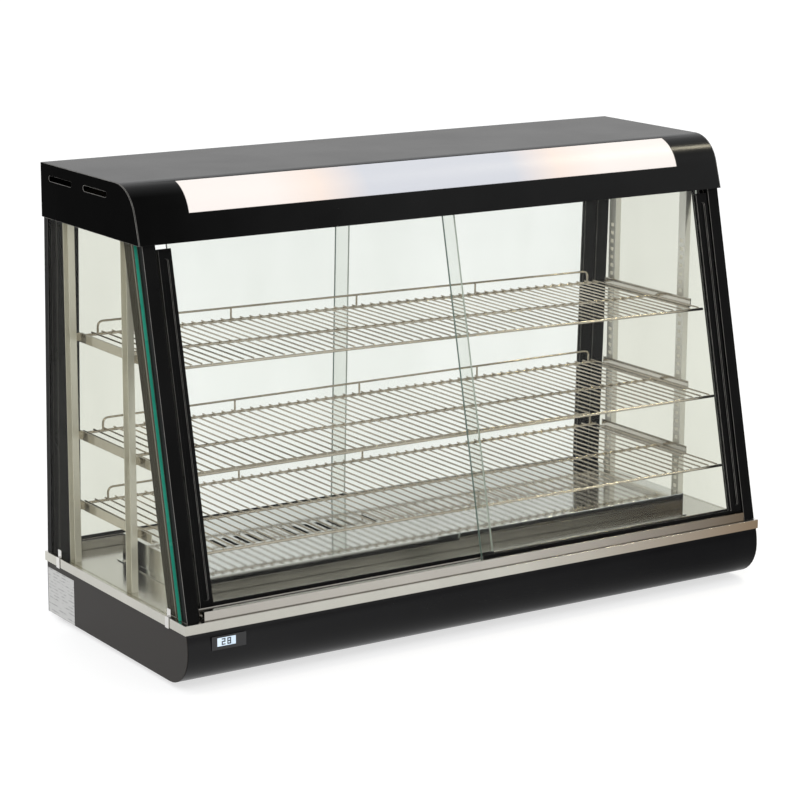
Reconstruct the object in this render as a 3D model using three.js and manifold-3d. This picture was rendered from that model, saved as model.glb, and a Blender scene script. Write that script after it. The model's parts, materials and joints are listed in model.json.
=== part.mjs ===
// A heated countertop bakery display case: a black base with the controls, a stainless deck with a covered heater,
// a glass cabinet with three wire shelves and sliding doors at the front and the back, and a black hood with a lit,
// curved front edge.
// Millimetres, +Z up. The customer's side faces -Y. The origin lies on the counter, below the middle of the case.

import * as THREE from "three";
import { mergeVertices } from "three/addons/utils/BufferGeometryUtils.js";
import Module from "manifold-3d";

const wasm = await Module();
wasm.setup();

// ---- Driving dimensions -------------------------------------------------------------------------------------------

const HALF_WIDTH = 600; // of the deck and the hood
const SHEET = 1.5; // folded sheet metal
const GAP = 0.3; // between pieces that touch

// Base
const FOOT_HEIGHT = 8;
const FOOT_RADIUS = 16;
const FOOT_X = 520;
const FOOT_FRONT_Y = -165;
const FOOT_REAR_Y = 190;
const BASE_HALF_WIDTH = 597.5;
const BASE_FRONT_TOP_Y = -253;
const BASE_BULGE_Y = -257;
const BASE_BULGE_R = 62;
const BASE_END_REAR_Y = 255;
const PANEL_Y = 238; // outer face of the control panel at the back

// Deck
const DECK_TOP = 117.8;
const DECK_SKIRT = 16.6;
const DECK_FRONT_Y = -255;
const DECK_REAR_Y = 258.6;
const DECK_UNDERSIDE = DECK_TOP - SHEET;
const DECK_BOTTOM = DECK_TOP - DECK_SKIRT;
const BASE_TOP = DECK_UNDERSIDE - GAP;

// Planes of the sliding doors. n is the depth behind the plane's outer face, s the height along it.
const FRONT_Y = -246.5; // outer face of the front posts at the deck
const FRONT_LEAN = Math.atan(0.2255);
const REAR_Y = 253; // outer face of the rear posts at the deck
const REAR_LEAN = Math.atan(0.0312);
const OUTER_LANE = 8;
const INNER_LANE = 22.5;
const LANE_HALF_GROOVE = 4.9;
const RAIL_HEIGHT = 16.5;
const RAIL_FLOOR = 6.2; // groove floor above the deck
const FRONT_RAIL_LEFT_X = -561;
const FRONT_RAIL_RIGHT_X = 570.2;
const TRACK_BOTTOM = 624;
const TRACK_TOP = 646;
const TRACK_ROOF = 643;
const TRACK_DEPTH = 30;

// Posts
const POST_TOP = 738;
const POST_WALL_X = 589.7; // outer side of the wall that stands against the glass
// Inner and outer side of each front post, measured from the middle.
const FRONT_POST_X = { left: [569, 591.2], right: [574.3, 597.3] };
const FRONT_POST_FLANGE = 17;
const FRONT_POST_DEPTH = 43;
const FRONT_POST_LINER = 66; // depth of the thin leaf that runs on behind the glass
const REAR_POST_INNER_X = 563;
const REAR_POST_OUTER_X = 597;
const REAR_POST_FLANGE = 14;
const REAR_POST_DEPTH = 34;
const LINER_THICK = 1.3;
const WEB_FRONT = 14.2; // the web between the two lanes
const WEB_REAR = 16.3;
const WEB_LENGTH = 9;
const WEB_TOP = 715;

// Side glass
const SIDE_GLASS_X = 590;
const SIDE_GLASS_THICK = 6;
const SIDE_GLASS_FRONT_SETBACK = 20; // behind the outer face of the posts
const SIDE_GLASS_REAR_SETBACK = 15.5;
const SIDE_GLASS_TOP = 745;

// Doors
// Both ends of each door, the handle's end first. The front left one stands a little open.
const FRONT_LEFT_DOOR = [-554.5, 28];
const FRONT_RIGHT_DOOR = [572, -6];
const REAR_LEFT_DOOR = [-562.5, 13];
const REAR_RIGHT_DOOR = [562.5, -25];
const DOOR_GLASS_THICK = 5;
const DOOR_TOP = 640;
const HANDLE_WIDTH = 24;
const HANDLE_THICK = 11;
const HANDLE_TOP = 606;
const HANDLE_GLASS_INSET = 5;
const GRIP_CENTRE = 11.5; // from the handle's outer side
const GRIP_WIDTH = 10.5;
const GRIP_DEPTH = 3.8;
const GRIP_BOTTOM = 30;
const GRIP_TOP = 590;
const SHOE_THICK = 8.4;
const SHOE_HEIGHT = 12.5;

// Hood
const HOOD_TOP = 810;
const HOOD_BOTTOM = 716.5;
const HOOD_REAR_Y = 236.8;
const HOOD_BEND_Y = -41.5; // centre of the rounded front edge
const HOOD_BEND_R = 65;
const HOOD_BEND_Z = HOOD_TOP - HOOD_BEND_R;
const HOOD_FRONT_FOOT_Y = -118.5;
const DIFFUSER_LEFT_X = -500;
const DIFFUSER_RIGHT_X = 506;
const DIFFUSER_THICK = 3;
const DIFFUSER_START = THREE.MathUtils.degToRad(15);
const DIFFUSER_STRAIGHT = 3; // past the bend, down the straight face
const DIFFUSER_MARGIN = 0.45;
const HOOD_SLOT_LENGTH = 85;
const HOOD_SLOT_HEIGHT = 9.5;
const HOOD_SLOT_Z = 786;
const HOOD_SLOT_YS = [163, 35];
const CEILING_Z = 732;
const CEILING_HALF_WIDTH = 568;
const CEILING_FRONT_Y = -70;
const CEILING_REAR_Y = 190;
const CEILING_LIP = 12;
const LAMP_X = 365;
const LAMP_Y = -60;
const LAMP_Z = 779;
const LAMP_RADIUS = 10;
const LAMP_LENGTH = 110;

// Shelf standards, brackets and shelves
const STANDARD_INNER_X = 576;
const STANDARD_DEPTH = 12;
const STANDARD_WIDTH = 20;
const STANDARD_TOP = 731;
const FRONT_STANDARD_Y = -39;
const REAR_STANDARD_Y = 172;
const SLOT_PITCH = 15.7;
const SLOT_WIDTH = 9;
const SLOT_HEIGHT = 7;
const SLOT_COUNT = 31;
const BRACKET_X = 567.5;
const BRACKET_HEIGHT = 16;
const BRACKET_LEDGE = 13.5;
const BRACKET_FRONT_Y = -82;
const BRACKET_REAR_Y = 180;
const HOOK_ABOVE_BRACKET = 8;
const LOW_BRACKET_Z = 208.5;
const MIDDLE_BRACKET_Z = LOW_BRACKET_Z + 8 * SLOT_PITCH;
const TOP_BRACKET_Z = MIDDLE_BRACKET_Z + 10 * SLOT_PITCH;
const FIRST_SLOT_Z = LOW_BRACKET_Z + HOOK_ABOVE_BRACKET - 5 * SLOT_PITCH;
const SHELF_HALF_LENGTH = 560.5;
const SHELF_REAR_Y = 193;
const SHELF_SETBACK = 33; // of the front rod, behind the front plane
const SHELF_MIDDLE_SHARE = 0.475;
const ROD = 5;
const SLAT_WIDTH = 2.8;
const SLAT_HEIGHT = 3;
const SLAT_COUNT = 57;
const SLAT_SPAN = 1100;
const GUARD_ROD = 4;
const GUARD_HEIGHT = 29;
const GUARD_STRUT_PITCH = 263.5;
const GUARD_BAYS = 4;

// Heater
const COVER_LEFT_X = -505;
const COVER_RIGHT_X = 493;
const COVER_FRONT_Y = -167;
const COVER_REAR_Y = 145;
const COVER_TOP = 163.5;
const COVER_FLANGE = 14;
const VENT_COUNT = 14;
const VENT_FIRST_X = -396;
const VENT_PITCH = 23.5;
const VENT_WIDTH = 8;
const VENT_FRONT_Y = -28;
const VENT_REAR_Y = 25;
const ELEMENT_RADIUS = 4;
const ELEMENT_Z = 138;
const ELEMENT_HALF_LENGTH = 440;
const ELEMENT_FRONT_Y = -90;
const ELEMENT_REAR_Y = 80;
const ELEMENT_TERMINAL_X = -478;

// Controls
const METER_X = -521;
const METER_Z = 81;
const METER_WIDTH = 60;
const METER_HEIGHT = 19;
const METER_FRAME = 2;
const DISPLAY_LEFT_X = -543;
const DISPLAY_RIGHT_X = -508;
const KNOB_X = 430;
const CONTROL_Z = 58;
const SWITCH_X = 330;
const SWITCH_PITCH = 25;
const ROCKER_WIDTH = 18;
const ROCKER_HALF_HEIGHT = 10.2;
const ROCKER_REST = THREE.MathUtils.degToRad(-10);
const ROCKER_PIVOT_Y = 234;
const GLAND_X = 520;
const PANEL_VENT_COUNT = 8;
const PANEL_VENT_PITCH = 16;
const PANEL_VENT_XS = [-300, 60];

// ---- Materials ----------------------------------------------------------------------------------------------------

const paint = (color, roughness, metalness, extra = {}) =>
  new THREE.MeshStandardMaterial({ color, roughness, metalness, ...extra });
const GLOSS_BLACK = () => paint(0x1a1a1b, 0.25, 0.2);
const BASE_BLACK = () => paint(0x242323, 0.4, 0.2);
const BLACK_PROFILE = () => paint(0x161617, 0.35, 0.5);
const STAINLESS = () => paint(0xc9c7c0, 0.3, 1);
const BRIGHT_STEEL = () => paint(0xd6d6d2, 0.1, 1);
const CHROME_WIRE = () => paint(0xcdc8be, 0.2, 1);
const CLEAR_GLASS = () => paint(0xdfeee8, 0.05, 0, { transparent: true, opacity: 0.25 });
const OPAL = () => paint(0xf4f2ee, 0.5, 0);
const LAMP_GLASS = () => paint(0xffe2b0, 0.2, 0);
const RUBBER = () => paint(0x151515, 0.9, 0);
const BLACK_PLASTIC = () => paint(0x1c1c1c, 0.5, 0);
const ELEMENT_STEEL = () => paint(0x5a5650, 0.55, 0.9);

// ---- Shape helpers ------------------------------------------------------------------------------------------------

const axisX = new THREE.Vector3(1, 0, 0);
const axisY = new THREE.Vector3(0, 1, 0);
const axisZ = new THREE.Vector3(0, 0, 1);

// A block between two corners, given in any order.
function block(x0, x1, y0, y1, z0, z1) {
  const size = [Math.abs(x1 - x0), Math.abs(y1 - y0), Math.abs(z1 - z0)];
  return new THREE.BoxGeometry(...size).translate((x0 + x1) / 2, (y0 + y1) / 2, (z0 + z1) / 2);
}

function shapeOf(points) {
  return new THREE.Shape(points.map(([a, b]) => new THREE.Vector2(a, b)));
}

function extrude(shape, depth) {
  return new THREE.ExtrudeGeometry(shape, { depth, bevelEnabled: false, curveSegments: 12 });
}

// An outline of [y, z] points, drawn out along X.
function prismX(points, x0, x1) {
  const low = Math.min(x0, x1);
  const matrix = new THREE.Matrix4().makeBasis(axisY, axisZ, axisX).setPosition(low, 0, 0);
  return extrude(shapeOf(points), Math.abs(x1 - x0)).applyMatrix4(matrix);
}

// An outline of [x, z] points, drawn out along Y.
function prismY(points, y0, y1) {
  const matrix = new THREE.Matrix4()
    .makeBasis(axisX, axisZ, axisY.clone().negate())
    .setPosition(0, Math.max(y0, y1), 0);
  return extrude(shapeOf(points), Math.abs(y1 - y0)).applyMatrix4(matrix);
}

// An outline of [x, y] points, drawn out along Z.
function prismZ(points, z0, z1) {
  return extrude(shapeOf(points), z1 - z0).translate(0, 0, z0);
}

// A profile of [radius, y] points, turned about an axis along Y through (x, z).
function turnedY(profile, x, z, segments = 24) {
  const points = profile.map(([radius, y]) => new THREE.Vector2(radius, y));
  return new THREE.LatheGeometry(points, segments).translate(x, 0, z);
}

// A rounded slot's outline, from end to end along the first axis.
function obround(centreA, centreB, length, height, steps = 6) {
  const radius = height / 2;
  const reach = length / 2 - radius;
  const points = [];
  for (const [side, start] of [[1, -Math.PI / 2], [-1, Math.PI / 2]]) {
    for (let i = 0; i <= steps; i++) {
      const angle = start + (Math.PI * i) / steps;
      const a = centreA + side * reach + radius * Math.cos(angle);
      points.push([a, centreB + radius * Math.sin(angle)]);
    }
  }
  return points;
}

// Points on an arc about (y, z). Angles run from straight up towards the front.
function arc(y, z, radius, start, end, steps) {
  const points = [];
  for (let i = 0; i <= steps; i++) {
    const angle = start + ((end - start) * i) / steps;
    points.push([y - radius * Math.sin(angle), z + radius * Math.cos(angle)]);
  }
  return points;
}

function curve(from, control, to, steps) {
  const bend = new THREE.QuadraticBezierCurve(
    new THREE.Vector2(...from),
    new THREE.Vector2(...control),
    new THREE.Vector2(...to),
  );
  return bend.getPoints(steps).map((p) => [p.x, p.y]);
}

function solidOf(geometry) {
  const bare = geometry.clone();
  bare.deleteAttribute("normal");
  bare.deleteAttribute("uv");
  const merged = mergeVertices(bare, 1e-4);
  return new wasm.Manifold(
    new wasm.Mesh({
      numProp: 3,
      vertProperties: merged.attributes.position.array,
      triVerts: new Uint32Array(merged.index.array),
    }),
  );
}

function geometryOf(solid) {
  const mesh = solid.getMesh();
  const indexed = new THREE.BufferGeometry();
  indexed.setAttribute("position", new THREE.BufferAttribute(mesh.vertProperties, 3));
  indexed.setIndex(new THREE.BufferAttribute(mesh.triVerts, 1));
  const flat = indexed.toNonIndexed();
  flat.computeVertexNormals();
  return flat;
}

function join(first, ...others) {
  return geometryOf(others.reduce((whole, next) => whole.add(solidOf(next)), solidOf(first)));
}

function cut(body, ...tools) {
  return geometryOf(tools.reduce((rest, tool) => rest.subtract(solidOf(tool)), solidOf(body)));
}

const displayCase = new THREE.Group();

function place(name, geometry, material, parent = displayCase) {
  const mesh = new THREE.Mesh(geometry, material);
  mesh.name = name;
  parent.add(mesh);
  return mesh;
}

const SIDES = [["left", -1], ["right", 1]];

// ---- Base ---------------------------------------------------------------------------------------------------------

// The base's front line from the deck down to the floor of the base, moved in by the sheet's thickness if asked.
function baseFrontLine(inset) {
  const bulgeY = BASE_BULGE_Y + inset;
  const bendY = BASE_BULGE_Y + BASE_BULGE_R;
  const bendZ = FOOT_HEIGHT + BASE_BULGE_R;
  const top = [BASE_FRONT_TOP_Y + inset, DECK_BOTTOM - GAP];
  return [
    [BASE_FRONT_TOP_Y + inset, BASE_TOP],
    ...curve(top, [bulgeY, (DECK_BOTTOM + bendZ) / 2], [bulgeY, bendZ], 5),
    ...arc(bendY, bendZ, BASE_BULGE_R - inset, Math.PI / 2, Math.PI, 10).slice(1),
  ];
}

function addBase() {
  const outer = baseFrontLine(0);
  const inner = baseFrontLine(SHEET).reverse();
  const shell = [
    ...outer,
    [PANEL_Y, FOOT_HEIGHT],
    [PANEL_Y, FOOT_HEIGHT + SHEET],
    ...inner,
  ];
  const shellX = BASE_HALF_WIDTH - SHEET - GAP;
  const meterWindow = block(
    METER_X - METER_WIDTH / 2 - GAP,
    METER_X + METER_WIDTH / 2 + GAP,
    BASE_BULGE_Y - 5,
    BASE_FRONT_TOP_Y + 10,
    METER_Z - METER_HEIGHT / 2 - GAP,
    METER_Z + METER_HEIGHT / 2 + GAP,
  );
  place("base_shell", cut(prismX(shell, -shellX, shellX), meterWindow), GLOSS_BLACK());

  const end = [...outer, [BASE_END_REAR_Y, FOOT_HEIGHT], [BASE_END_REAR_Y, BASE_TOP]];
  for (const [side, sign] of SIDES) {
    const plate = prismX(end, sign * (BASE_HALF_WIDTH - SHEET), sign * BASE_HALF_WIDTH);
    place(`base_end_${side}`, plate, BASE_BLACK());
  }
  for (const [side, sign] of SIDES) {
    for (const [end, y] of [["front", FOOT_FRONT_Y], ["rear", FOOT_REAR_Y]]) {
      place(`foot_${end}_${side}`, foot(), RUBBER()).position.set(sign * FOOT_X, y, 0);
    }
  }
}

// A low round pad with a chamfered lower edge.
function foot() {
  const top = FOOT_HEIGHT - GAP;
  const profile = [[0, 0], [FOOT_RADIUS - 1.5, 0], [FOOT_RADIUS, 1.5], [FOOT_RADIUS, top], [0, top]];
  const points = profile.map(([radius, z]) => new THREE.Vector2(radius, z));
  return new THREE.LatheGeometry(points, 24).rotateX(Math.PI / 2);
}

// ---- Control panel at the back ------------------------------------------------------------------------------------

const BUSH_RADIUS = 5;
const GLAND_BODY_RADIUS = 8.7;
const HOUSING_HALF_X = SWITCH_PITCH / 2 + ROCKER_WIDTH / 2 + 3;
const HOUSING_HALF_Z = 14;

function circle(x, z, radius, steps = 20) {
  const points = [];
  for (let i = 0; i < steps; i++) {
    const angle = (2 * Math.PI * i) / steps;
    points.push([x + radius * Math.cos(angle), z + radius * Math.sin(angle)]);
  }
  return points;
}

function rectangle(x, z, halfX, halfZ) {
  return [[x - halfX, z - halfZ], [x + halfX, z - halfZ], [x + halfX, z + halfZ], [x - halfX, z + halfZ]];
}

function addControlPanel() {
  const panelX = BASE_HALF_WIDTH - SHEET - GAP;
  const low = FOOT_HEIGHT + SHEET + GAP;
  const outline = rectangle(0, (low + BASE_TOP) / 2, panelX, (BASE_TOP - low) / 2);
  const holes = [
    circle(KNOB_X, CONTROL_Z, BUSH_RADIUS + GAP),
    circle(GLAND_X, CONTROL_Z, GLAND_BODY_RADIUS + GAP),
    rectangle(SWITCH_X, CONTROL_Z, HOUSING_HALF_X + GAP, HOUSING_HALF_Z + GAP),
  ];
  for (const firstX of PANEL_VENT_XS) {
    for (let i = 0; i < PANEL_VENT_COUNT; i++) {
      holes.push(rectangle(firstX + i * PANEL_VENT_PITCH, CONTROL_Z, 3, 24));
    }
  }
  const tools = holes.map((hole) => prismY(hole, PANEL_Y - SHEET - 1, PANEL_Y + 1));
  place("base_rear_panel", cut(prismY(outline, PANEL_Y - SHEET, PANEL_Y), ...tools), GLOSS_BLACK());
  addThermostat();
  addSwitches();
  addGland();
}

function addThermostat() {
  const face = PANEL_Y + GAP;
  const back = PANEL_Y - SHEET - GAP;
  const shaftEnd = face + 12;
  const bush = turnedY([[0, back - 1], [BUSH_RADIUS, back - 1], [BUSH_RADIUS, face], [0, face]], KNOB_X, CONTROL_Z);
  const shaft = turnedY([[0, face - 2], [3, face - 2], [3, shaftEnd], [0, shaftEnd]], KNOB_X, CONTROL_Z);
  const can = block(KNOB_X - 22, KNOB_X + 22, back - 34, back, CONTROL_Z - 17, CONTROL_Z + 17);
  place("thermostat_body", join(can, bush, shaft), STAINLESS());

  const rim = face + 1;
  const tip = face + 19;
  const bore = 3 + GAP;
  const profile = [
    [bore, rim], [20, rim], [20, rim + 5], [16.5, rim + 7], [15.5, tip - 1.5], [14, tip], [0, tip],
    [0, shaftEnd + GAP], [bore, shaftEnd + GAP], [bore, rim],
  ];
  const body = turnedY(profile, KNOB_X, CONTROL_Z, 32);
  const pointer = block(KNOB_X - 1.5, KNOB_X + 1.5, tip - 8, tip + 1.2, CONTROL_Z + 3, CONTROL_Z + 14.5);
  place("thermostat_knob", join(body, pointer), BLACK_PLASTIC());
}

// Two rocker switches, for the heat and for the light, in one housing clipped into the panel.
function addSwitches() {
  const wellHalfX = ROCKER_WIDTH / 2 + 0.6;
  const wellHalfZ = ROCKER_HALF_HEIGHT + 1.3;
  const rim = block(
    SWITCH_X - HOUSING_HALF_X - 3,
    SWITCH_X + HOUSING_HALF_X + 3,
    PANEL_Y + GAP,
    PANEL_Y + 2,
    CONTROL_Z - HOUSING_HALF_Z - 3,
    CONTROL_Z + HOUSING_HALF_Z + 3,
  );
  const body = block(
    SWITCH_X - HOUSING_HALF_X,
    SWITCH_X + HOUSING_HALF_X,
    PANEL_Y - 26,
    PANEL_Y + 1,
    CONTROL_Z - HOUSING_HALF_Z,
    CONTROL_Z + HOUSING_HALF_Z,
  );
  const switches = [["heat_switch", SWITCH_PITCH / 2], ["light_switch", -SWITCH_PITCH / 2]];
  const wells = switches.map(([, offset]) =>
    block(
      SWITCH_X + offset - wellHalfX,
      SWITCH_X + offset + wellHalfX,
      PANEL_Y - 14,
      PANEL_Y + 5,
      CONTROL_Z - wellHalfZ,
      CONTROL_Z + wellHalfZ,
    ),
  );
  place("switch_housing", cut(join(rim, body), ...wells), BLACK_PLASTIC());

  // The rocker's two faces meet in a shallow V, and it rests tipped to its off side.
  const outline = [[-3.5, -8], [4.5, -ROCKER_HALF_HEIGHT], [2, 0], [4.5, ROCKER_HALF_HEIGHT], [-3.5, 8]];
  for (const [name, offset] of switches) {
    const rocker = place(name, prismX(outline, -ROCKER_WIDTH / 2, ROCKER_WIDTH / 2), BLACK_PLASTIC());
    rocker.position.set(SWITCH_X + offset, ROCKER_PIVOT_Y, CONTROL_Z);
    rocker.rotation.x = ROCKER_REST;
  }
}

// The inlet gland for the mains lead, with an open bore.
function addGland() {
  const face = PANEL_Y + GAP;
  const back = PANEL_Y - SHEET - GAP;
  const bore = 4.5;
  const profile = [
    [bore, back - 9], [12, back - 9], [12, back], [GLAND_BODY_RADIUS, back], [GLAND_BODY_RADIUS, face],
    [13, face], [13, face + 6], [9, face + 12], [bore, face + 14], [bore, back - 9],
  ];
  place("cord_gland", turnedY(profile, GLAND_X, CONTROL_Z), BLACK_PLASTIC());
}

// The digital thermometer in the base's front: a bezel, a raised display and one button beside it.
function addThermometer() {
  const halfX = METER_WIDTH / 2;
  const halfZ = METER_HEIGHT / 2;
  const front = -DECK_REAR_Y; // level with the deck's rear edge on the other side
  const seat = BASE_BULGE_Y - GAP;
  const bezel = block(
    METER_X - halfX - METER_FRAME,
    METER_X + halfX + METER_FRAME,
    front,
    seat,
    METER_Z - halfZ - METER_FRAME,
    METER_Z + halfZ + METER_FRAME,
  );
  const body = block(METER_X - halfX, METER_X + halfX, seat - 0.2, seat + 24, METER_Z - halfZ, METER_Z + halfZ);
  const recess = block(DISPLAY_LEFT_X, DISPLAY_RIGHT_X, front - 1, front + 0.7, METER_Z - 6.5, METER_Z + 8.5);
  place("thermometer", cut(join(bezel, body), recess), BLACK_PLASTIC());
}

// ---- Deck ---------------------------------------------------------------------------------------------------------

function addDeck() {
  const outer = block(-HALF_WIDTH, HALF_WIDTH, DECK_FRONT_Y, DECK_REAR_Y, DECK_BOTTOM, DECK_TOP);
  const hollow = block(
    -HALF_WIDTH + SHEET,
    HALF_WIDTH - SHEET,
    DECK_FRONT_Y + SHEET,
    DECK_REAR_Y - SHEET,
    DECK_BOTTOM - 1,
    DECK_UNDERSIDE,
  );
  place("deck", cut(outer, hollow), STAINLESS());
}

// ---- Door planes --------------------------------------------------------------------------------------------------

const frontPlane = new THREE.Group();
frontPlane.position.set(0, FRONT_Y, DECK_TOP);
frontPlane.rotation.x = -FRONT_LEAN;
const rearPlane = new THREE.Group();
rearPlane.position.set(0, REAR_Y, DECK_TOP);
rearPlane.rotation.order = "ZYX";
rearPlane.rotation.x = -REAR_LEAN;
rearPlane.rotation.z = Math.PI;
displayCase.add(frontPlane, rearPlane);

// Y of a point at depth n behind the front plane, at height z.
const frontAt = (n, z) => FRONT_Y + n / Math.cos(FRONT_LEAN) + (z - DECK_TOP) * Math.tan(FRONT_LEAN);
// Y of a point at depth n in front of the rear plane, at height z. It leans a little the other way.
const rearAt = (n, z) => REAR_Y - n / Math.cos(REAR_LEAN) - (z - DECK_TOP) * Math.tan(REAR_LEAN);

// The four corners, in [y, z], of a strip between two depths and two heights.
const strip = (at, n0, n1, z0, z1) => [[at(n0, z0), z0], [at(n1, z0), z0], [at(n1, z1), z1], [at(n0, z1), z1]];

// A lower rail with two grooves, one for each door.
function rail(at, y0, y1, x0, x1) {
  const top = DECK_TOP + RAIL_HEIGHT;
  const bar = block(x0, x1, y0, y1, DECK_TOP + GAP, top);
  const grooves = [OUTER_LANE, INNER_LANE].map((lane) =>
    prismX(
      strip(at, lane - LANE_HALF_GROOVE, lane + LANE_HALF_GROOVE, DECK_TOP + RAIL_FLOOR, top + 5),
      x0 - 1,
      x1 + 1,
    ),
  );
  return cut(bar, ...grooves);
}

// The upper track, open below, drawn in its plane's own axes.
function track(x0, x1) {
  const shape = [[1.5, TRACK_BOTTOM]];
  for (const lane of [OUTER_LANE, INNER_LANE]) {
    shape.push([lane - LANE_HALF_GROOVE, TRACK_BOTTOM], [lane - LANE_HALF_GROOVE, TRACK_ROOF]);
    shape.push([lane + LANE_HALF_GROOVE, TRACK_ROOF], [lane + LANE_HALF_GROOVE, TRACK_BOTTOM]);
  }
  shape.push([TRACK_DEPTH, TRACK_BOTTOM], [TRACK_DEPTH, TRACK_TOP], [1.5, TRACK_TOP]);
  return prismX(shape, x0, x1);
}

function addRails() {
  const top = DECK_TOP + RAIL_HEIGHT;
  const frontBack = frontAt(TRACK_DEPTH, top);
  const frontRail = rail(frontAt, FRONT_Y - 3, frontBack, FRONT_RAIL_LEFT_X, FRONT_RAIL_RIGHT_X);
  const rearHalf = REAR_POST_INNER_X - GAP;
  const rearRail = rail(rearAt, REAR_Y + 3, rearAt(TRACK_DEPTH, top), -rearHalf, rearHalf);
  place("front_door_rail", frontRail, STAINLESS());
  place("rear_door_rail", rearRail, STAINLESS());
  const [leftX] = FRONT_POST_X.left;
  const [rightX] = FRONT_POST_X.right;
  place("front_top_track", track(GAP - leftX, rightX - GAP), BLACK_PROFILE(), frontPlane);
  place("rear_top_track", track(-rearHalf, rearHalf), BLACK_PROFILE(), rearPlane);
}

// An upright of a post, between two distances from the middle and two depths.
function upright(at, sign, x0, x1, n0, n1, low = DECK_TOP + GAP, high = POST_TOP) {
  return prismX(strip(at, n0, n1, low, high), sign * x0, sign * x1);
}

// The fin of a post that stands between the two lanes, above the rail and below the track.
function web(at, sign, innerX) {
  const low = DECK_TOP + RAIL_HEIGHT + GAP;
  return upright(at, sign, innerX - WEB_LENGTH, innerX + 1, WEB_FRONT, WEB_REAR, low, WEB_TOP);
}

// A front post: a flange in front of the glass's edge, a wall beside the doors and a thin leaf behind the glass.
function frontPost(sign, inner, outer) {
  const flange = upright(frontAt, sign, inner, outer, 0, FRONT_POST_FLANGE);
  const wall = upright(frontAt, sign, inner, POST_WALL_X, FRONT_POST_FLANGE - 1, FRONT_POST_DEPTH);
  const leafX = POST_WALL_X - LINER_THICK;
  const leaf = upright(frontAt, sign, leafX, POST_WALL_X, FRONT_POST_DEPTH - 1, FRONT_POST_LINER);
  return join(flange, wall, leaf, web(frontAt, sign, inner));
}

// A rear post: its flange covers the glass's edge.
function rearPost(sign) {
  const inner = REAR_POST_INNER_X;
  const flange = upright(rearAt, sign, inner, REAR_POST_OUTER_X, 0, REAR_POST_FLANGE);
  const wall = upright(rearAt, sign, inner, POST_WALL_X, REAR_POST_FLANGE - 1, REAR_POST_DEPTH);
  return join(flange, wall, web(rearAt, sign, inner));
}

function addPosts() {
  for (const [side, sign] of SIDES) {
    place(`front_post_${side}`, frontPost(sign, ...FRONT_POST_X[side]), BLACK_PROFILE());
    place(`rear_post_${side}`, rearPost(sign), BLACK_PROFILE());
  }
}

// ---- Doors --------------------------------------------------------------------------------------------------------

// One sliding door, in its plane's axes: the pane, and a black frame that is the handle and the shoe below the glass.
function addDoor(name, plane, lean, lane, outerX, innerX) {
  const sign = Math.sign(outerX);
  const drop = Math.sin(lean);
  const rise = Math.cos(lean);
  const shoeBottom = (RAIL_FLOOR + 0.5 + (lane + SHOE_THICK / 2) * drop) / rise;
  const handleBottom = (RAIL_HEIGHT + 1 + (lane + HANDLE_THICK / 2) * drop) / rise;
  const handleX = outerX - sign * HANDLE_WIDTH;
  const glassX = handleX + sign * HANDLE_GLASS_INSET;
  const halfGlass = DOOR_GLASS_THICK / 2;
  const glassBottom = shoeBottom + 4;
  const pane = block(innerX, glassX, lane - halfGlass, lane + halfGlass, glassBottom, DOOR_TOP);
  place(`${name}_glass`, pane, CLEAR_GLASS(), plane);

  const halfHandle = HANDLE_THICK / 2;
  const halfShoe = SHOE_THICK / 2;
  const handle = block(handleX, outerX, lane - halfHandle, lane + halfHandle, handleBottom, HANDLE_TOP);
  const shoe = block(innerX, outerX, lane - halfShoe, lane + halfShoe, shoeBottom, shoeBottom + SHOE_HEIGHT);
  const slot = block(
    innerX - sign * 2,
    glassX + sign * GAP,
    lane - halfGlass - GAP,
    lane + halfGlass + GAP,
    glassBottom - GAP,
    DOOR_TOP + 1,
  );
  const gripX = outerX - sign * GRIP_CENTRE;
  const gripOutline = obround((GRIP_BOTTOM + GRIP_TOP) / 2, gripX, GRIP_TOP - GRIP_BOTTOM, GRIP_WIDTH);
  const face = lane - halfHandle;
  const grip = prismY(gripOutline.map(([s, x]) => [x, s]), face - 1, face + GRIP_DEPTH);
  place(`${name}_frame`, cut(join(handle, shoe), slot, grip), BLACK_PROFILE(), plane);
}

function addDoors() {
  addDoor("front_door_left", frontPlane, FRONT_LEAN, INNER_LANE, ...FRONT_LEFT_DOOR);
  addDoor("front_door_right", frontPlane, FRONT_LEAN, OUTER_LANE, ...FRONT_RIGHT_DOOR);
  // The rear plane is turned round, so its own -X side is the case's +X side.
  addDoor("rear_door_right", rearPlane, REAR_LEAN, INNER_LANE, ...REAR_RIGHT_DOOR.map((x) => -x));
  addDoor("rear_door_left", rearPlane, REAR_LEAN, OUTER_LANE, ...REAR_LEFT_DOOR.map((x) => -x));
}

// ---- Side glass and its clips -------------------------------------------------------------------------------------

function addSideGlass() {
  const low = DECK_TOP + GAP;
  const outline = [
    [frontAt(SIDE_GLASS_FRONT_SETBACK, low), low],
    [rearAt(SIDE_GLASS_REAR_SETBACK, low), low],
    [rearAt(SIDE_GLASS_REAR_SETBACK, SIDE_GLASS_TOP), SIDE_GLASS_TOP],
    [frontAt(SIDE_GLASS_FRONT_SETBACK, SIDE_GLASS_TOP), SIDE_GLASS_TOP],
  ];
  for (const [side, sign] of SIDES) {
    const pane = prismX(outline, sign * SIDE_GLASS_X, sign * (SIDE_GLASS_X + SIDE_GLASS_THICK));
    place(`side_glass_${side}`, pane, CLEAR_GLASS());
    for (const [end, y] of [["front", -195], ["rear", 205]]) {
      place(`glass_clip_${end}_${side}`, glassClip(sign), BRIGHT_STEEL()).position.y = y;
    }
  }
}

const CLIP_HOOK = 2.2;

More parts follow.
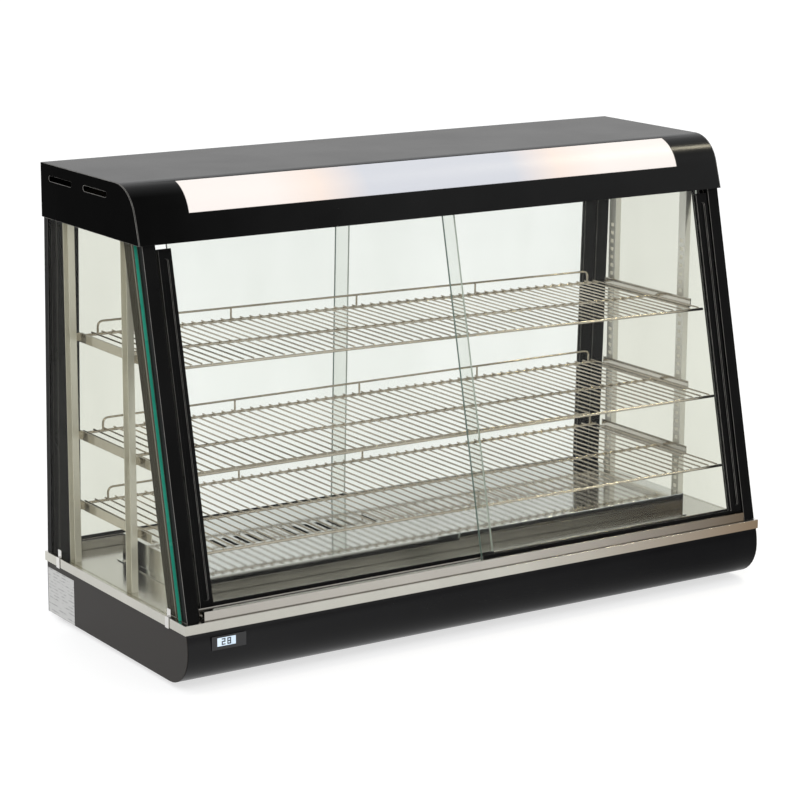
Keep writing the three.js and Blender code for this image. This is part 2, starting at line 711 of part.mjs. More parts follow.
// A bent clip that hooks under the deck's edge, folds over it and stands against the foot of the glass.
function glassClip(sign) {
  const thick = 1.1;
  const outside = HALF_WIDTH + GAP;
  const foot = SIDE_GLASS_X + SIDE_GLASS_THICK + GAP;
  const over = DECK_TOP + GAP;
  const outline = [
    [outside - CLIP_HOOK, DECK_BOTTOM - GAP - thick],
    [outside + thick, DECK_BOTTOM - GAP - thick],
    [outside + thick, over + thick],
    [foot + thick, over + thick],
    [foot + thick, over + 14],
    [foot, over + 14],
    [foot, over],
    [outside, over],
    [outside, DECK_BOTTOM - GAP],
    [outside - CLIP_HOOK, DECK_BOTTOM - GAP],
  ];
  return prismY(outline.map(([x, z]) => [sign * x, z]), -6, 6);
}

// ---- Hood ---------------------------------------------------------------------------------------------------------

// The angle at which a straight line from the hood's lower front edge touches the rounded edge.
function hoodTangent() {
  const dy = HOOD_BEND_Y - HOOD_FRONT_FOOT_Y;
  const dz = HOOD_BOTTOM - HOOD_BEND_Z;
  return Math.atan2(dy, dz) - Math.acos(HOOD_BEND_R / Math.hypot(dy, dz));
}

function hoodLine(inset) {
  const bend = arc(HOOD_BEND_Y, HOOD_BEND_Z, HOOD_BEND_R - inset, 0, hoodTangent(), 12);
  const footY = HOOD_FRONT_FOOT_Y + inset / Math.sin(hoodTangent());
  return [[HOOD_REAR_Y - inset, HOOD_BOTTOM], [HOOD_REAR_Y - inset, HOOD_TOP - inset], ...bend, [footY, HOOD_BOTTOM]];
}

// The hood's front line at a radius: round the bend from an angle, then down the straight face by a length.
function bendLine(radius, start, straight) {
  const end = hoodTangent();
  const points = arc(HOOD_BEND_Y, HOOD_BEND_Z, radius, start, end, 10);
  const [y, z] = points[points.length - 1];
  return [...points, [y - straight * Math.cos(end), z - straight * Math.sin(end)]];
}

function bendStrip(start, straight, outerR, innerR) {
  return [...bendLine(outerR, start, straight), ...bendLine(innerR, start, straight).reverse()];
}

function addHood() {
  const shellX = HALF_WIDTH - SHEET - GAP;
  const shell = prismX([...hoodLine(0), ...hoodLine(SHEET).reverse()], -shellX, shellX);
  const windowStart = DIFFUSER_START - DIFFUSER_MARGIN / HOOD_BEND_R;
  const window = prismX(
    bendStrip(windowStart, DIFFUSER_STRAIGHT + DIFFUSER_MARGIN, HOOD_BEND_R + 6, HOOD_BEND_R - 6),
    DIFFUSER_LEFT_X - DIFFUSER_MARGIN,
    DIFFUSER_RIGHT_X + DIFFUSER_MARGIN,
  );
  place("hood_shell", cut(shell, window), GLOSS_BLACK());

  const slots = HOOD_SLOT_YS.map((y) => obround(y, HOOD_SLOT_Z, HOOD_SLOT_LENGTH, HOOD_SLOT_HEIGHT));
  for (const [side, sign] of SIDES) {
    const plate = prismX(hoodLine(0), sign * (HALF_WIDTH - SHEET), sign * HALF_WIDTH);
    const tools = slots.map((slot) => prismX(slot, sign * (HALF_WIDTH - SHEET - 1), sign * (HALF_WIDTH + 1)));
    place(`hood_end_${side}`, cut(plate, ...tools), GLOSS_BLACK());
  }
  const outerR = HOOD_BEND_R - 0.2;
  const diffuser = bendStrip(DIFFUSER_START, DIFFUSER_STRAIGHT, outerR, outerR - DIFFUSER_THICK);
  place("light_diffuser", prismX(diffuser, DIFFUSER_LEFT_X, DIFFUSER_RIGHT_X), OPAL());
  addCeiling();
}

// The tray that closes the cabinet's top, with the two lamp sockets standing on it.
function addCeiling() {
  const outline = [
    [CEILING_FRONT_Y, CEILING_Z + CEILING_LIP],
    [CEILING_FRONT_Y, CEILING_Z],
    [CEILING_REAR_Y, CEILING_Z],
    [CEILING_REAR_Y, CEILING_Z + CEILING_LIP],
    [CEILING_REAR_Y - SHEET, CEILING_Z + CEILING_LIP],
    [CEILING_REAR_Y - SHEET, CEILING_Z + SHEET],
    [CEILING_FRONT_Y + SHEET, CEILING_Z + SHEET],
    [CEILING_FRONT_Y + SHEET, CEILING_Z + CEILING_LIP],
  ];
  const tray = prismX(outline, -CEILING_HALF_WIDTH, CEILING_HALF_WIDTH);
  const capRadius = 7;
  const capEnd = LAMP_LENGTH / 2 + 14;
  const sockets = [];
  const bores = [];
  for (const [side, sign] of SIDES) {
    const x = sign * LAMP_X;
    const near = x + sign * (LAMP_LENGTH / 2 + 4);
    const far = x + sign * (capEnd + 5);
    sockets.push(block(near, far, LAMP_Y - 12, LAMP_Y + 12, CEILING_Z + 1, LAMP_Z + 12));
    const bore = new THREE.CylinderGeometry(capRadius + GAP, capRadius + GAP, capEnd, 20).rotateZ(Math.PI / 2);
    bores.push(bore.translate(x + (sign * (capEnd + GAP)) / 2, LAMP_Y, LAMP_Z));

    // A tubular lamp: a rounded glass bulb with a metal cap in the socket.
    const half = LAMP_LENGTH / 2;
    const profile = [
      [0, -half], [LAMP_RADIUS * 0.7, 3 - half], [LAMP_RADIUS, 10 - half], [LAMP_RADIUS, half - 8],
      [capRadius, half], [capRadius, capEnd], [0, capEnd],
    ];
    const lamp = place(`lamp_${side}`, turnedY(profile, 0, 0, 20), LAMP_GLASS());
    lamp.rotation.z = (-sign * Math.PI) / 2;
    lamp.position.set(x, LAMP_Y, LAMP_Z);
  }
  place("hood_ceiling", cut(join(tray, ...sockets), ...bores), STAINLESS());
}

// ---- Shelf supports -----------------------------------------------------------------------------------------------

// A slotted channel, its web towards the cabinet and its legs towards the glass.
function standard(sign, y) {
  const half = STANDARD_WIDTH / 2;
  const inner = STANDARD_INNER_X;
  const outer = STANDARD_INNER_X + STANDARD_DEPTH;
  const section = [
    [inner, y - half], [outer, y - half], [outer, y - half + SHEET], [inner + SHEET, y - half + SHEET],
    [inner + SHEET, y + half - SHEET], [outer, y + half - SHEET], [outer, y + half], [inner, y + half],
  ];
  const channel = prismZ(section.map(([x, v]) => [sign * x, v]), DECK_TOP + GAP, STANDARD_TOP);
  const slots = [];
  for (let i = 0; i < SLOT_COUNT; i++) {
    const z = FIRST_SLOT_Z + i * SLOT_PITCH;
    const x0 = sign * (inner - 1);
    const x1 = sign * (inner + SHEET + 1);
    slots.push(block(x0, x1, y - SLOT_WIDTH / 2, y + SLOT_WIDTH / 2, z - SLOT_HEIGHT / 2, z + SLOT_HEIGHT / 2));
  }
  return cut(channel, ...slots);
}

// An angle bar with a ledge for the shelf, and two tabs that hook into the standards.
function bracket(sign, z) {
  const face = BRACKET_X;
  const upright = block(
    sign * (face - SHEET), sign * face, BRACKET_FRONT_Y, BRACKET_REAR_Y, z, z + BRACKET_HEIGHT,
  );
  const ledge = block(sign * (face - BRACKET_LEDGE), sign * face, BRACKET_FRONT_Y, BRACKET_REAR_Y, z, z + SHEET);
  const tabOutline = [
    [face - 1, z + 1], [STANDARD_INNER_X - GAP, z + 1], [STANDARD_INNER_X - GAP, z + 5],
    [STANDARD_INNER_X + 6, z + 5], [STANDARD_INNER_X + 6, z + 11], [STANDARD_INNER_X - GAP, z + 11],
    [STANDARD_INNER_X - GAP, z + 15], [face - 1, z + 15],
  ];
  const tabs = [FRONT_STANDARD_Y, REAR_STANDARD_Y].map((y) =>
    prismY(tabOutline.map(([x, v]) => [sign * x, v]), y - 1, y + 1),
  );
  return join(upright, ledge, ...tabs);
}

// Each shelf's level, its right bracket's height, how much higher its left bracket sits, and its guard's middle.
// The top shelf's left bracket sits one slot higher than its right one.
const SHELVES = [
  ["bottom", LOW_BRACKET_Z, 0, 20],
  ["middle", MIDDLE_BRACKET_Z, 0, 13],
  ["top", TOP_BRACKET_Z, SLOT_PITCH, 6.5],
];

function addShelfSupports() {
  for (const [side, sign] of SIDES) {
    for (const [end, y] of [["front", FRONT_STANDARD_Y], ["rear", REAR_STANDARD_Y]]) {
      place(`shelf_standard_${end}_${side}`, standard(sign, y), STAINLESS());
    }
    for (const [level, z, leftRise] of SHELVES) {
      const height = side === "left" ? z + leftRise : z;
      place(`shelf_bracket_${level}_${side}`, bracket(sign, height), STAINLESS());
    }
  }
}

// ---- Wire shelves -------------------------------------------------------------------------------------------------

// A shelf in its own axes: three long rods, slats across them, and a low guard along the back.
function shelf(frontY, guardX) {
  const rodLow = SHEET + GAP;
  const rodTop = rodLow + ROD;
  const slatLow = rodTop;
  const middleY = frontY + SHELF_MIDDLE_SHARE * (SHELF_REAR_Y - frontY);
  const pieces = [frontY, middleY, SHELF_REAR_Y].map((y) =>
    block(-SHELF_HALF_LENGTH, SHELF_HALF_LENGTH, y - ROD / 2, y + ROD / 2, rodLow, rodTop),
  );
  for (let i = 0; i < SLAT_COUNT; i++) {
    const x = -SLAT_SPAN / 2 + (SLAT_SPAN * i) / (SLAT_COUNT - 1);
    const half = SLAT_WIDTH / 2;
    pieces.push(
      block(x - half, x + half, frontY - 2, SHELF_REAR_Y + 3.4, slatLow, slatLow + SLAT_HEIGHT),
    );
  }
  const halfGuard = GUARD_ROD / 2;
  const guardY0 = SHELF_REAR_Y - halfGuard - 0.2;
  const guardY1 = SHELF_REAR_Y + halfGuard - 0.2;
  const guardLow = GUARD_HEIGHT - GUARD_ROD;
  const guardHalf = (GUARD_STRUT_PITCH * GUARD_BAYS) / 2;
  pieces.push(
    block(
      guardX - guardHalf - halfGuard,
      guardX + guardHalf + halfGuard,
      guardY0,
      guardY1,
      guardLow,
      GUARD_HEIGHT,
    ),
  );
  for (let i = 0; i <= GUARD_BAYS; i++) {
    const x = guardX - guardHalf + i * GUARD_STRUT_PITCH;
    pieces.push(block(x - halfGuard, x + halfGuard, guardY0, guardY1, rodTop - 1, GUARD_HEIGHT - 0.5));
  }
  return join(...pieces);
}

function addShelves() {
  for (const [level, z, leftRise, guardX] of SHELVES) {
    const middleZ = z + leftRise / 2;
    const frontY = frontAt(SHELF_SETBACK, z + leftRise + GUARD_ROD);
    const mesh = place(`shelf_${level}`, shelf(frontY, guardX), CHROME_WIRE());
    mesh.position.z = middleZ;
    mesh.rotation.y = Math.asin(leftRise / (2 * (SHELF_HALF_LENGTH - BRACKET_LEDGE / 4)));
  }
}

// ---- Heater -------------------------------------------------------------------------------------------------------

// An upturned tray over the element, with a row of slots and a screw flange at each end.
function addHeaterCover() {
  const low = DECK_TOP + GAP;
  const box = block(COVER_LEFT_X, COVER_RIGHT_X, COVER_FRONT_Y, COVER_REAR_Y, low, COVER_TOP);
  const hollow = block(
    COVER_LEFT_X + SHEET,
    COVER_RIGHT_X - SHEET,
    COVER_FRONT_Y + SHEET,
    COVER_REAR_Y - SHEET,
    low - 1,
    COVER_TOP - SHEET,
  );
  const ends = [[COVER_LEFT_X, -1], [COVER_RIGHT_X, 1]];
  const flanges = ends.map(([x, sign]) =>
    block(
      x - sign * 0.5,
      x + sign * COVER_FLANGE,
      COVER_FRONT_Y + 6,
      COVER_REAR_Y - 6,
      low,
      low + SHEET,
    ),
  );
  const vents = [];
  for (let i = 0; i < VENT_COUNT; i++) {
    const x = VENT_FIRST_X + i * VENT_PITCH;
    vents.push(
      block(x - VENT_WIDTH / 2, x + VENT_WIDTH / 2, VENT_FRONT_Y, VENT_REAR_Y, COVER_TOP - 5, COVER_TOP + 1),
    );
  }
  place("heater_cover", cut(join(box, ...flanges), hollow, ...vents), BRIGHT_STEEL());
}

// One long loop of tubular element, its two ends turned down to the deck.
function addHeatingElement() {
  const route = [
    [ELEMENT_TERMINAL_X, ELEMENT_FRONT_Y, DECK_TOP + 4],
    [ELEMENT_TERMINAL_X, ELEMENT_FRONT_Y, ELEMENT_Z - 8],
    [ELEMENT_TERMINAL_X + 8, ELEMENT_FRONT_Y, ELEMENT_Z],
    [ELEMENT_HALF_LENGTH - 30, ELEMENT_FRONT_Y, ELEMENT_Z],
    [ELEMENT_HALF_LENGTH, ELEMENT_FRONT_Y + 30, ELEMENT_Z],
    [ELEMENT_HALF_LENGTH, ELEMENT_REAR_Y - 30, ELEMENT_Z],
    [ELEMENT_HALF_LENGTH - 30, ELEMENT_REAR_Y, ELEMENT_Z],
    [ELEMENT_TERMINAL_X + 8, ELEMENT_REAR_Y, ELEMENT_Z],
    [ELEMENT_TERMINAL_X, ELEMENT_REAR_Y, ELEMENT_Z - 8],
    [ELEMENT_TERMINAL_X, ELEMENT_REAR_Y, DECK_TOP + 4],
  ].map((point) => new THREE.Vector3(...point));
  const path = new THREE.CurvePath();
  for (let i = 1; i < route.length; i++) {
    path.add(new THREE.LineCurve3(route[i - 1], route[i]));
  }
  const smooth = new THREE.CatmullRomCurve3(path.getSpacedPoints(60), false, "centripetal");
  const section = shapeOf(circle(0, 0, ELEMENT_RADIUS, 6));
  const tube = new THREE.ExtrudeGeometry(section, { steps: 64, bevelEnabled: false, extrudePath: smooth });
  place("heating_element", tube, ELEMENT_STEEL());
}

// ---- Assembly -----------------------------------------------------------------------------------------------------

addBase();
addControlPanel();
addThermometer();
addDeck();
addRails();
addPosts();
addDoors();
addSideGlass();
addHood();
addShelfSupports();
addShelves();
addHeaterCover();
addHeatingElement();

export default displayCase;
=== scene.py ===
"""Looks of the heated bakery display case: its materials, round wire shelves, trim and the studio."""

import json
import math

import bmesh
import bpy
from mathutils import Matrix, Vector


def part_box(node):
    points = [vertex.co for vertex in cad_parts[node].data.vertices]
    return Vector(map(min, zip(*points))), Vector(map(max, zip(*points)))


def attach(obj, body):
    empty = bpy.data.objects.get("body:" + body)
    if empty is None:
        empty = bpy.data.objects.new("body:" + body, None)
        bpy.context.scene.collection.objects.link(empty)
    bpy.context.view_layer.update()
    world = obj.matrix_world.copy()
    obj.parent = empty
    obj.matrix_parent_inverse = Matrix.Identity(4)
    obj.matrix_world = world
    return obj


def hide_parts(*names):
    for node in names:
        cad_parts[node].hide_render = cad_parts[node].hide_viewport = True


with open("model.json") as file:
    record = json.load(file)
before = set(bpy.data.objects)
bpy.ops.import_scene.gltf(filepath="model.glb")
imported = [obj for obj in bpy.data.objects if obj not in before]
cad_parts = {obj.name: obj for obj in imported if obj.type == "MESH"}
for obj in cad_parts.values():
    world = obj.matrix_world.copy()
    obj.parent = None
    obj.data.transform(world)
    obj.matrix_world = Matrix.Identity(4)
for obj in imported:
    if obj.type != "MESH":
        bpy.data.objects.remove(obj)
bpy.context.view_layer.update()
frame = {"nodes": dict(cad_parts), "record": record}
MM = 0.001


# ---- Painting tools ------------------------------------------------------------------------------

# How a grain is stretched that runs along one axis, or along none.
ALONG_X = (0.02, 1, 1)
ALONG_Y = (1, 0.02, 1)
ALONG_Z = (1, 1, 0.02)
EVEN = (1, 1, 1)

# Places of a Mix node's two inputs and of its output, by data type.
MIX_PLACES = {"RGBA": (6, 7, 2), "FLOAT": (2, 3, 0)}


def grey(value):
    return (value, value, value)


class Paint:
    """A material with its node tree and shader, and short ways to add nodes to it."""

    def __init__(self, name, color, roughness, metallic=0.0):
        self.material = bpy.data.materials.new(name)
        self.material.use_nodes = True
        self.tree = self.material.node_tree
        self.shader = self.tree.nodes["Principled BSDF"]
        self.set(Base_Color=color, Roughness=roughness, Metallic=metallic)
        surface = self.node("TexCoord")
        self.coordinates = surface.outputs["Object"]
        self.normal = surface.outputs["Normal"]

    def node(self, kind, **values):
        made = self.tree.nodes.new("ShaderNode" + kind)
        for key, value in values.items():
            setattr(made, key, value)
        return made

    def feed(self, socket, value):
        """Links a value that is a socket, and otherwise sets it. A colour comes without alpha."""
        if isinstance(value, bpy.types.NodeSocket):
            self.tree.links.new(value, socket)
        elif isinstance(value, tuple):
            socket.default_value = (*value, 1)
        else:
            socket.default_value = value

    def set(self, **values):
        """Feeds the shader's own sockets, whose names have _ for a space."""
        for key, value in values.items():
            self.feed(self.shader.inputs[key.replace("_", " ")], value)

    def math(self, operation, *terms):
        """The result of a Math node, each of whose terms is a number or a socket."""
        made = self.node("Math", operation=operation)
        for socket, term in zip(made.inputs, terms):
            self.feed(socket, term)
        return made.outputs[0]

    def noise(self, scale, stretch=EVEN, detail=4.0):
        """Noise on the object's own coordinates, from 0 to 1. scale is in cells per metre."""
        mapping = self.node("Mapping")
        mapping.inputs["Scale"].default_value = stretch
        self.feed(mapping.inputs["Vector"], self.coordinates)
        noise = self.node("TexNoise")
        self.feed(noise.inputs["Scale"], scale)
        self.feed(noise.inputs["Detail"], detail)
        self.feed(noise.inputs["Vector"], mapping.outputs["Vector"])
        return noise.outputs["Fac"]

    def ramp(self, value, low, high, start=0.3, end=0.7):
        """value, from start to end, brought to low..high."""
        ranged = self.node("MapRange")
        self.feed(ranged.inputs["From Min"], start)
        self.feed(ranged.inputs["From Max"], end)
        self.feed(ranged.inputs["To Min"], low)
        self.feed(ranged.inputs["To Max"], high)
        self.feed(ranged.inputs["Value"], value)
        return ranged.outputs["Result"]

    def mix(self, factor, first, second, kind="RGBA"):
        """Something between first and second, each of them a socket or else a colour or a number."""
        first_place, second_place, result = MIX_PLACES[kind]
        mixed = self.node("Mix", data_type=kind)
        self.feed(mixed.inputs["Factor"], factor)
        self.feed(mixed.inputs[first_place], first)
        self.feed(mixed.inputs[second_place], second)
        return mixed.outputs[result]

    def layer(self, share, under, over):
        """A shader that is under, with a share of over."""
        layered = self.node("MixShader")
        self.feed(layered.inputs["Fac"], share)
        self.feed(layered.inputs[1], under.outputs[0])
        self.feed(layered.inputs[2], over.outputs[0])
        return layered

    def axis(self, name, source=None):
        """One coordinate of the surface point, in metres, or of another vector."""
        split = self.node("SeparateXYZ")
        self.feed(split.inputs[0], source or self.coordinates)
        return split.outputs[name]

    def bump(self, height, strength, distance):
        bump = self.node("Bump")
        self.feed(bump.inputs["Strength"], strength)
        self.feed(bump.inputs["Distance"], distance)
        self.feed(bump.inputs["Height"], height)
        self.set(Normal=bump.outputs["Normal"])

    def vary(self, color, scale, roughness=None):
        """Slow variation of the colour between two, and of the roughness, over the surface."""
        cloud = self.noise(scale)
        self.set(Base_Color=self.mix(self.ramp(cloud, 0, 1), *color))
        if roughness:
            self.set(Roughness=self.ramp(cloud, *roughness))


# ---- Kinds of material ---------------------------------------------------------------------------

LEFT_END_X = -0.58
UPRIGHT_UP_TO = 0.7  # the Z of a face's normal
LEVEL_FROM = 0.98


def lacquer(name, dark, light, roughness, gloss, ior=1.5, left_gloss=None, even_x=0.5):
    """Black paint with faint orange peel and a little dust. A lower ior keeps it from mirroring the floor.

    left_gloss, if given, is the gloss of the upright faces at the case's left end, which sets their
    reflection apart
    from the rest: on the hood it is nought, a painted shade, and on the base it is stronger. From even_x on
    it is gloss again.
    """
    paint = Paint(name, dark, roughness[0])
    paint.vary((dark, light), scale=9, roughness=roughness)
    paint.set(Specular_IOR_Level=gloss, IOR=ior)
    if left_gloss is not None:
        along = paint.ramp(paint.axis("X"), left_gloss, gloss, LEFT_END_X, even_x)
        level = paint.ramp(paint.axis("Z", paint.normal), 0, 1, UPRIGHT_UP_TO, LEVEL_FROM)
        paint.set(Specular_IOR_Level=paint.mix(level, along, gloss, "FLOAT"))
    paint.bump(paint.noise(420, detail=2), strength=0.05, distance=0.2 * MM)
    return paint.material


# The painted reflection on the front edge of the steel: where it ends behind, how it fades there, and where
# towards the right it is full.
FRONT_EDGE_Y = -0.212  # of the door rail's rear side
FRONT_EDGE_BLUR = 4 * MM
REFLECTION_FULL_X = 0.6
BRUSH_MARKS = 2600  # per metre


def steel(name, dark, light, roughness, grain, strength=0.04, painted_reflection=None, metallic=1.0):
    """Sheet steel with a fine brushed grain. Given the colour of a painted reflection, its front edge drifts
    to it towards the right end.

    grain is the stretch of the brush marks along X, Y and Z.
    """
    paint = Paint(name, dark, roughness[0], metallic)
    colour = paint.mix(paint.ramp(paint.noise(5), 0, 1), dark, light)
    # A painted warm brown reflection on the front edge, growing towards the right end.
    if painted_reflection:
        rightwards = paint.ramp(paint.axis("X"), 0, 1, 0.0, REFLECTION_FULL_X)
        in_front = paint.ramp(paint.axis("Y"), 1, 0, FRONT_EDGE_Y, FRONT_EDGE_Y + FRONT_EDGE_BLUR)
        colour = paint.mix(paint.math("MULTIPLY", rightwards, in_front), colour, painted_reflection)
    marks = paint.noise(BRUSH_MARKS, grain, detail=2)
    paint.set(Base_Color=colour, Roughness=paint.ramp(marks, *roughness))
    if strength:
        paint.bump(marks, strength, distance=0.1 * MM)
    return paint.material


FOLD_LEAN = 0.2255  # of the front posts, Y per Z
FOLD_PLACE = -0.2331  # of the fold's line, Y where Z is nought
# The painted highlight along the fold: full out to the first distance, gone from the second on.
FOLD_HIGHLIGHT_FULL_TO = 1 * MM  # from the fold's line
FOLD_HIGHLIGHT_GONE_FROM = 2.6 * MM


def folded_leaf(name, dark, light, highlight):
    """The thin leaf of a front post behind the side glass, dark steel with one painted highlight line down
    it, along a fold.
    """
    paint = Paint(name, dark, roughness=0.3)
    across = paint.math("MULTIPLY_ADD", paint.axis("Z"), -FOLD_LEAN, paint.axis("Y"))
    away = paint.math("ABSOLUTE", paint.math("SUBTRACT", across, FOLD_PLACE))
    # A painted highlight down the fold's line.
    fold = paint.ramp(away, 1, 0, FOLD_HIGHLIGHT_FULL_TO, FOLD_HIGHLIGHT_GONE_FROM)
    sheet = paint.mix(paint.ramp(paint.noise(9), 0, 1), dark, light)
    grain = paint.ramp(paint.noise(900, ALONG_Z), 0.22, 0.36)
    paint.set(Base_Color=paint.mix(fold, sheet, highlight), Roughness=grain, IOR=1.1)
    return paint.material


# The painted highlight on the edges: full where a face's normal has the first X, none from the second on.
HIGHLIGHT_FULL_X = -0.95  # the X of a face's normal
HIGHLIGHT_START_X = -0.15


def painted_highlight_edge(name, dark, highlight):
    """The rounded edges of a black piece, with a painted highlight where they face left, made uneven by
    noise.
    """
    paint = Paint(name, dark, roughness=0.3)
    left = paint.ramp(paint.axis("X", paint.normal), 1, 0, HIGHLIGHT_FULL_X, HIGHLIGHT_START_X)
    # Painted highlight: full on left-facing edges, made uneven by noise.
    highlight_share = paint.math("MULTIPLY", left, paint.ramp(paint.noise(40), 0.55, 1))
    grain = paint.ramp(paint.noise(500), 0.25, 0.4)
    paint.set(Base_Color=paint.mix(highlight_share, dark, highlight), Roughness=grain, Specular_IOR_Level=0.1)
    return paint.material


def plastic(name, dark, light, roughness, scale=700, strength=0.15):
    """Moulded plastic or rubber with a fine grain."""
    paint = Paint(name, dark, roughness[0])
    paint.vary((dark, light), scale=30, roughness=roughness)
    paint.bump(paint.noise(scale, detail=2), strength, distance=0.2 * MM)
    return paint.material


WIPING_MARKS = (1, 1, 0.35)  # stretched upwards
HAZE = (0.85, 0.85, 0.82)
HAZE_SHARE = (0.002, 0.01)
GRAZING_POWER = 5.0  # how late a pane starts to mirror as it is seen more from the side


def clear_glass(name, tint, deep, mirror_share=(0.006, 0.5)):
    """A pane that shows what is behind it, mirrors at its faces and carries a faint haze of wiping marks.

    mirror_share is how much it mirrors straight on and at a grazing angle.
    """
    paint = Paint(name, tint, roughness=0.02)
    paint.tree.nodes.remove(paint.shader)
    smear = paint.noise(6, WIPING_MARKS)
    through = paint.node("BsdfTransparent")
    paint.feed(through.inputs["Color"], paint.mix(paint.ramp(smear, 0, 1), tint, deep))
    haze = paint.node("BsdfDiffuse")
    paint.feed(haze.inputs["Color"], HAZE)
    mirror = paint.node("BsdfGlossy")
    paint.feed(mirror.inputs["Roughness"], paint.ramp(smear, 0.0, 0.05))
    facing = paint.node("LayerWeight")
    paint.feed(facing.inputs["Blend"], 0.5)
    grazing = paint.math("POWER", facing.outputs["Facing"], GRAZING_POWER)
    hazy = paint.layer(paint.ramp(smear, *HAZE_SHARE), through, haze)
    whole = paint.layer(paint.ramp(grazing, *mirror_share, 0, 1), hazy, mirror)
    paint.feed(paint.tree.nodes["Material Output"].inputs["Surface"], whole.outputs[0])
    return paint.material


def glass_edge(name, dark, light):
    """The ground edge of a pane, where the glass's own green gathers. The door panes' edges take a pale copy,
    a painted highlight, and on their left-facing faces a dark copy, a painted shade.
    """
    paint = Paint(name, dark, roughness=0.25)
    paint.vary((dark, light), scale=4, roughness=(0.15, 0.35))
    paint.set(Coat_Weight=0.4)
    paint.bump(paint.noise(500, ALONG_Z), strength=0.1, distance=0.1 * MM)
    return paint.material


# Where the light is fully blushing and fully warm, from 0 at the end of its reach to 1 beside its middle.
FULL_BLUSH = 0.45
FULL_WARMTH = 0.9
BESIDE = 0.2  # of the reach


def glowing(name, cool, blush, warm, strength, warm_x, reach):
    """A surface lit by lamps: warm beside x = -warm_x and warm_x, then blushing, and cool past reach."""
    paint = Paint(name, cool, roughness=0.45)
    away = paint.math("ABSOLUTE", paint.math("SUBTRACT", paint.math("ABSOLUTE", paint.axis("X")), warm_x))
    near = paint.ramp(away, 1, 0, reach * BESIDE, reach)
    outer = paint.mix(paint.ramp(near, 0, 1, 0.0, FULL_BLUSH), cool, blush)
    colour = paint.mix(paint.ramp(near, 0, 1, FULL_BLUSH, FULL_WARMTH), outer, warm)
    paint.set(Base_Color=colour, Emission_Color=colour, Emission_Strength=strength)
    paint.set(Roughness=paint.ramp(paint.noise(300), 0.35, 0.55))
    return paint.material


# ---- The case's materials ------------------------------------------------------------------------


def black_paints():
    return {
        "hood": lacquer(
            "hood_paint",
            dark=grey(0.002),
            light=grey(0.004),
            roughness=(0.2, 0.24),
            gloss=0.12,
            # The hood's upright faces lose their reflection towards the left end: a painted shade.
            left_gloss=0.0,
            even_x=-0.1,
        ),
        "hood_end": lacquer(
            "hood_end_paint",
            dark=grey(0.0008),
            light=grey(0.0016),
            roughness=(0.22, 0.3),
            gloss=0.5,
            ior=1.03,
        ),
        "base_gloss": lacquer(
            "base_paint",
            dark=(0.003, 0.003, 0.0035),
            light=(0.005, 0.005, 0.0055),
            roughness=(0.2, 0.28),
            gloss=0.1,
            ior=1.3,
            left_gloss=0.45,
        ),
        "base_side": lacquer(
            "base_side_paint",
            dark=(0.022, 0.0195, 0.0175),
            light=(0.03, 0.027, 0.024),
            roughness=(0.3, 0.42),
            gloss=0.5,
            ior=1.18,
        ),
        "profile": lacquer(
            "profile_black",
            dark=grey(0.003),
            light=grey(0.005),
            roughness=(0.24, 0.34),
            gloss=0.5,
            ior=1.12,
        ),
        # Bevels of black pieces, with a painted highlight where they face left.
        "edge": painted_highlight_edge("painted_highlight_edge", grey(0.003), (0.32, 0.31, 0.29)),
    }


def sheet_steels():
    return {
        "deck": steel("deck_steel", (0.68, 0.66, 0.62), (0.78, 0.76, 0.72), (0.14, 0.22), ALONG_X),
        # The deck's upright faces: the deck's steel painted darker, a painted shade, with a painted warm
        # brown reflection towards the right end.
        "skirt": steel(
            "skirt_steel_painted_shade",
            dark=(0.44, 0.43, 0.39),
            light=(0.52, 0.51, 0.46),
            roughness=(0.14, 0.22),
            grain=ALONG_X,
            painted_reflection=(0.20, 0.145, 0.095),
        ),
        # The door rail, with a painted dark brown reflection on its front towards the right end.
        "rail": steel(
            "rail_steel",
            dark=(0.38, 0.36, 0.33),
            light=(0.44, 0.42, 0.38),
            roughness=(0.14, 0.22),
            grain=ALONG_X,
            painted_reflection=(0.10, 0.073, 0.047),
        ),
        "standard": steel(
            "standard_steel",
            dark=(0.62, 0.60, 0.55),
            light=(0.74, 0.72, 0.66),
            roughness=(0.14, 0.24),
            grain=ALONG_Z,
            metallic=0.35,
        ),
        "bracket": steel(
            "bracket_steel", (0.50, 0.47, 0.42), (0.60, 0.57, 0.51), (0.12, 0.2), ALONG_Y, strength=0
        ),
        # The front posts' leaves behind the side glass, with a painted highlight down a fold.
        "post_steel": folded_leaf(
            "post_steel", dark=(0.035, 0.031, 0.022), light=(0.055, 0.049, 0.036), highlight=(0.25, 0.24, 0.21)
        ),
        "ceiling": steel("ceiling_steel", (0.60, 0.59, 0.57), (0.70, 0.69, 0.66), (0.2, 0.34), ALONG_X),
        "cover": steel(
            "cover_steel", (0.72, 0.72, 0.70), (0.82, 0.82, 0.80), (0.05, 0.1), ALONG_X, strength=0
        ),
    }


def small_metals():
    return {
        "clip": steel(
            "clip_steel", (0.55, 0.54, 0.52), (0.68, 0.67, 0.65), (0.08, 0.18), EVEN, strength=0.05
        ),
        # The shelf wires: nickel's own tone, warmed further by painted warm lamplight.
        "wire": steel(
            "wire_nickel_painted_warm_light", (0.44, 0.39, 0.32), (0.64, 0.58, 0.49), (0.14, 0.28), EVEN, strength=0.08
        ),
        "thermostat": steel("plated_can", (0.5, 0.5, 0.47), (0.62, 0.61, 0.57), (0.3, 0.45), EVEN),
        "element": steel(
            "element_steel", (0.10, 0.09, 0.08), (0.22, 0.19, 0.15), (0.4, 0.6), EVEN, strength=0.3
        ),
    }


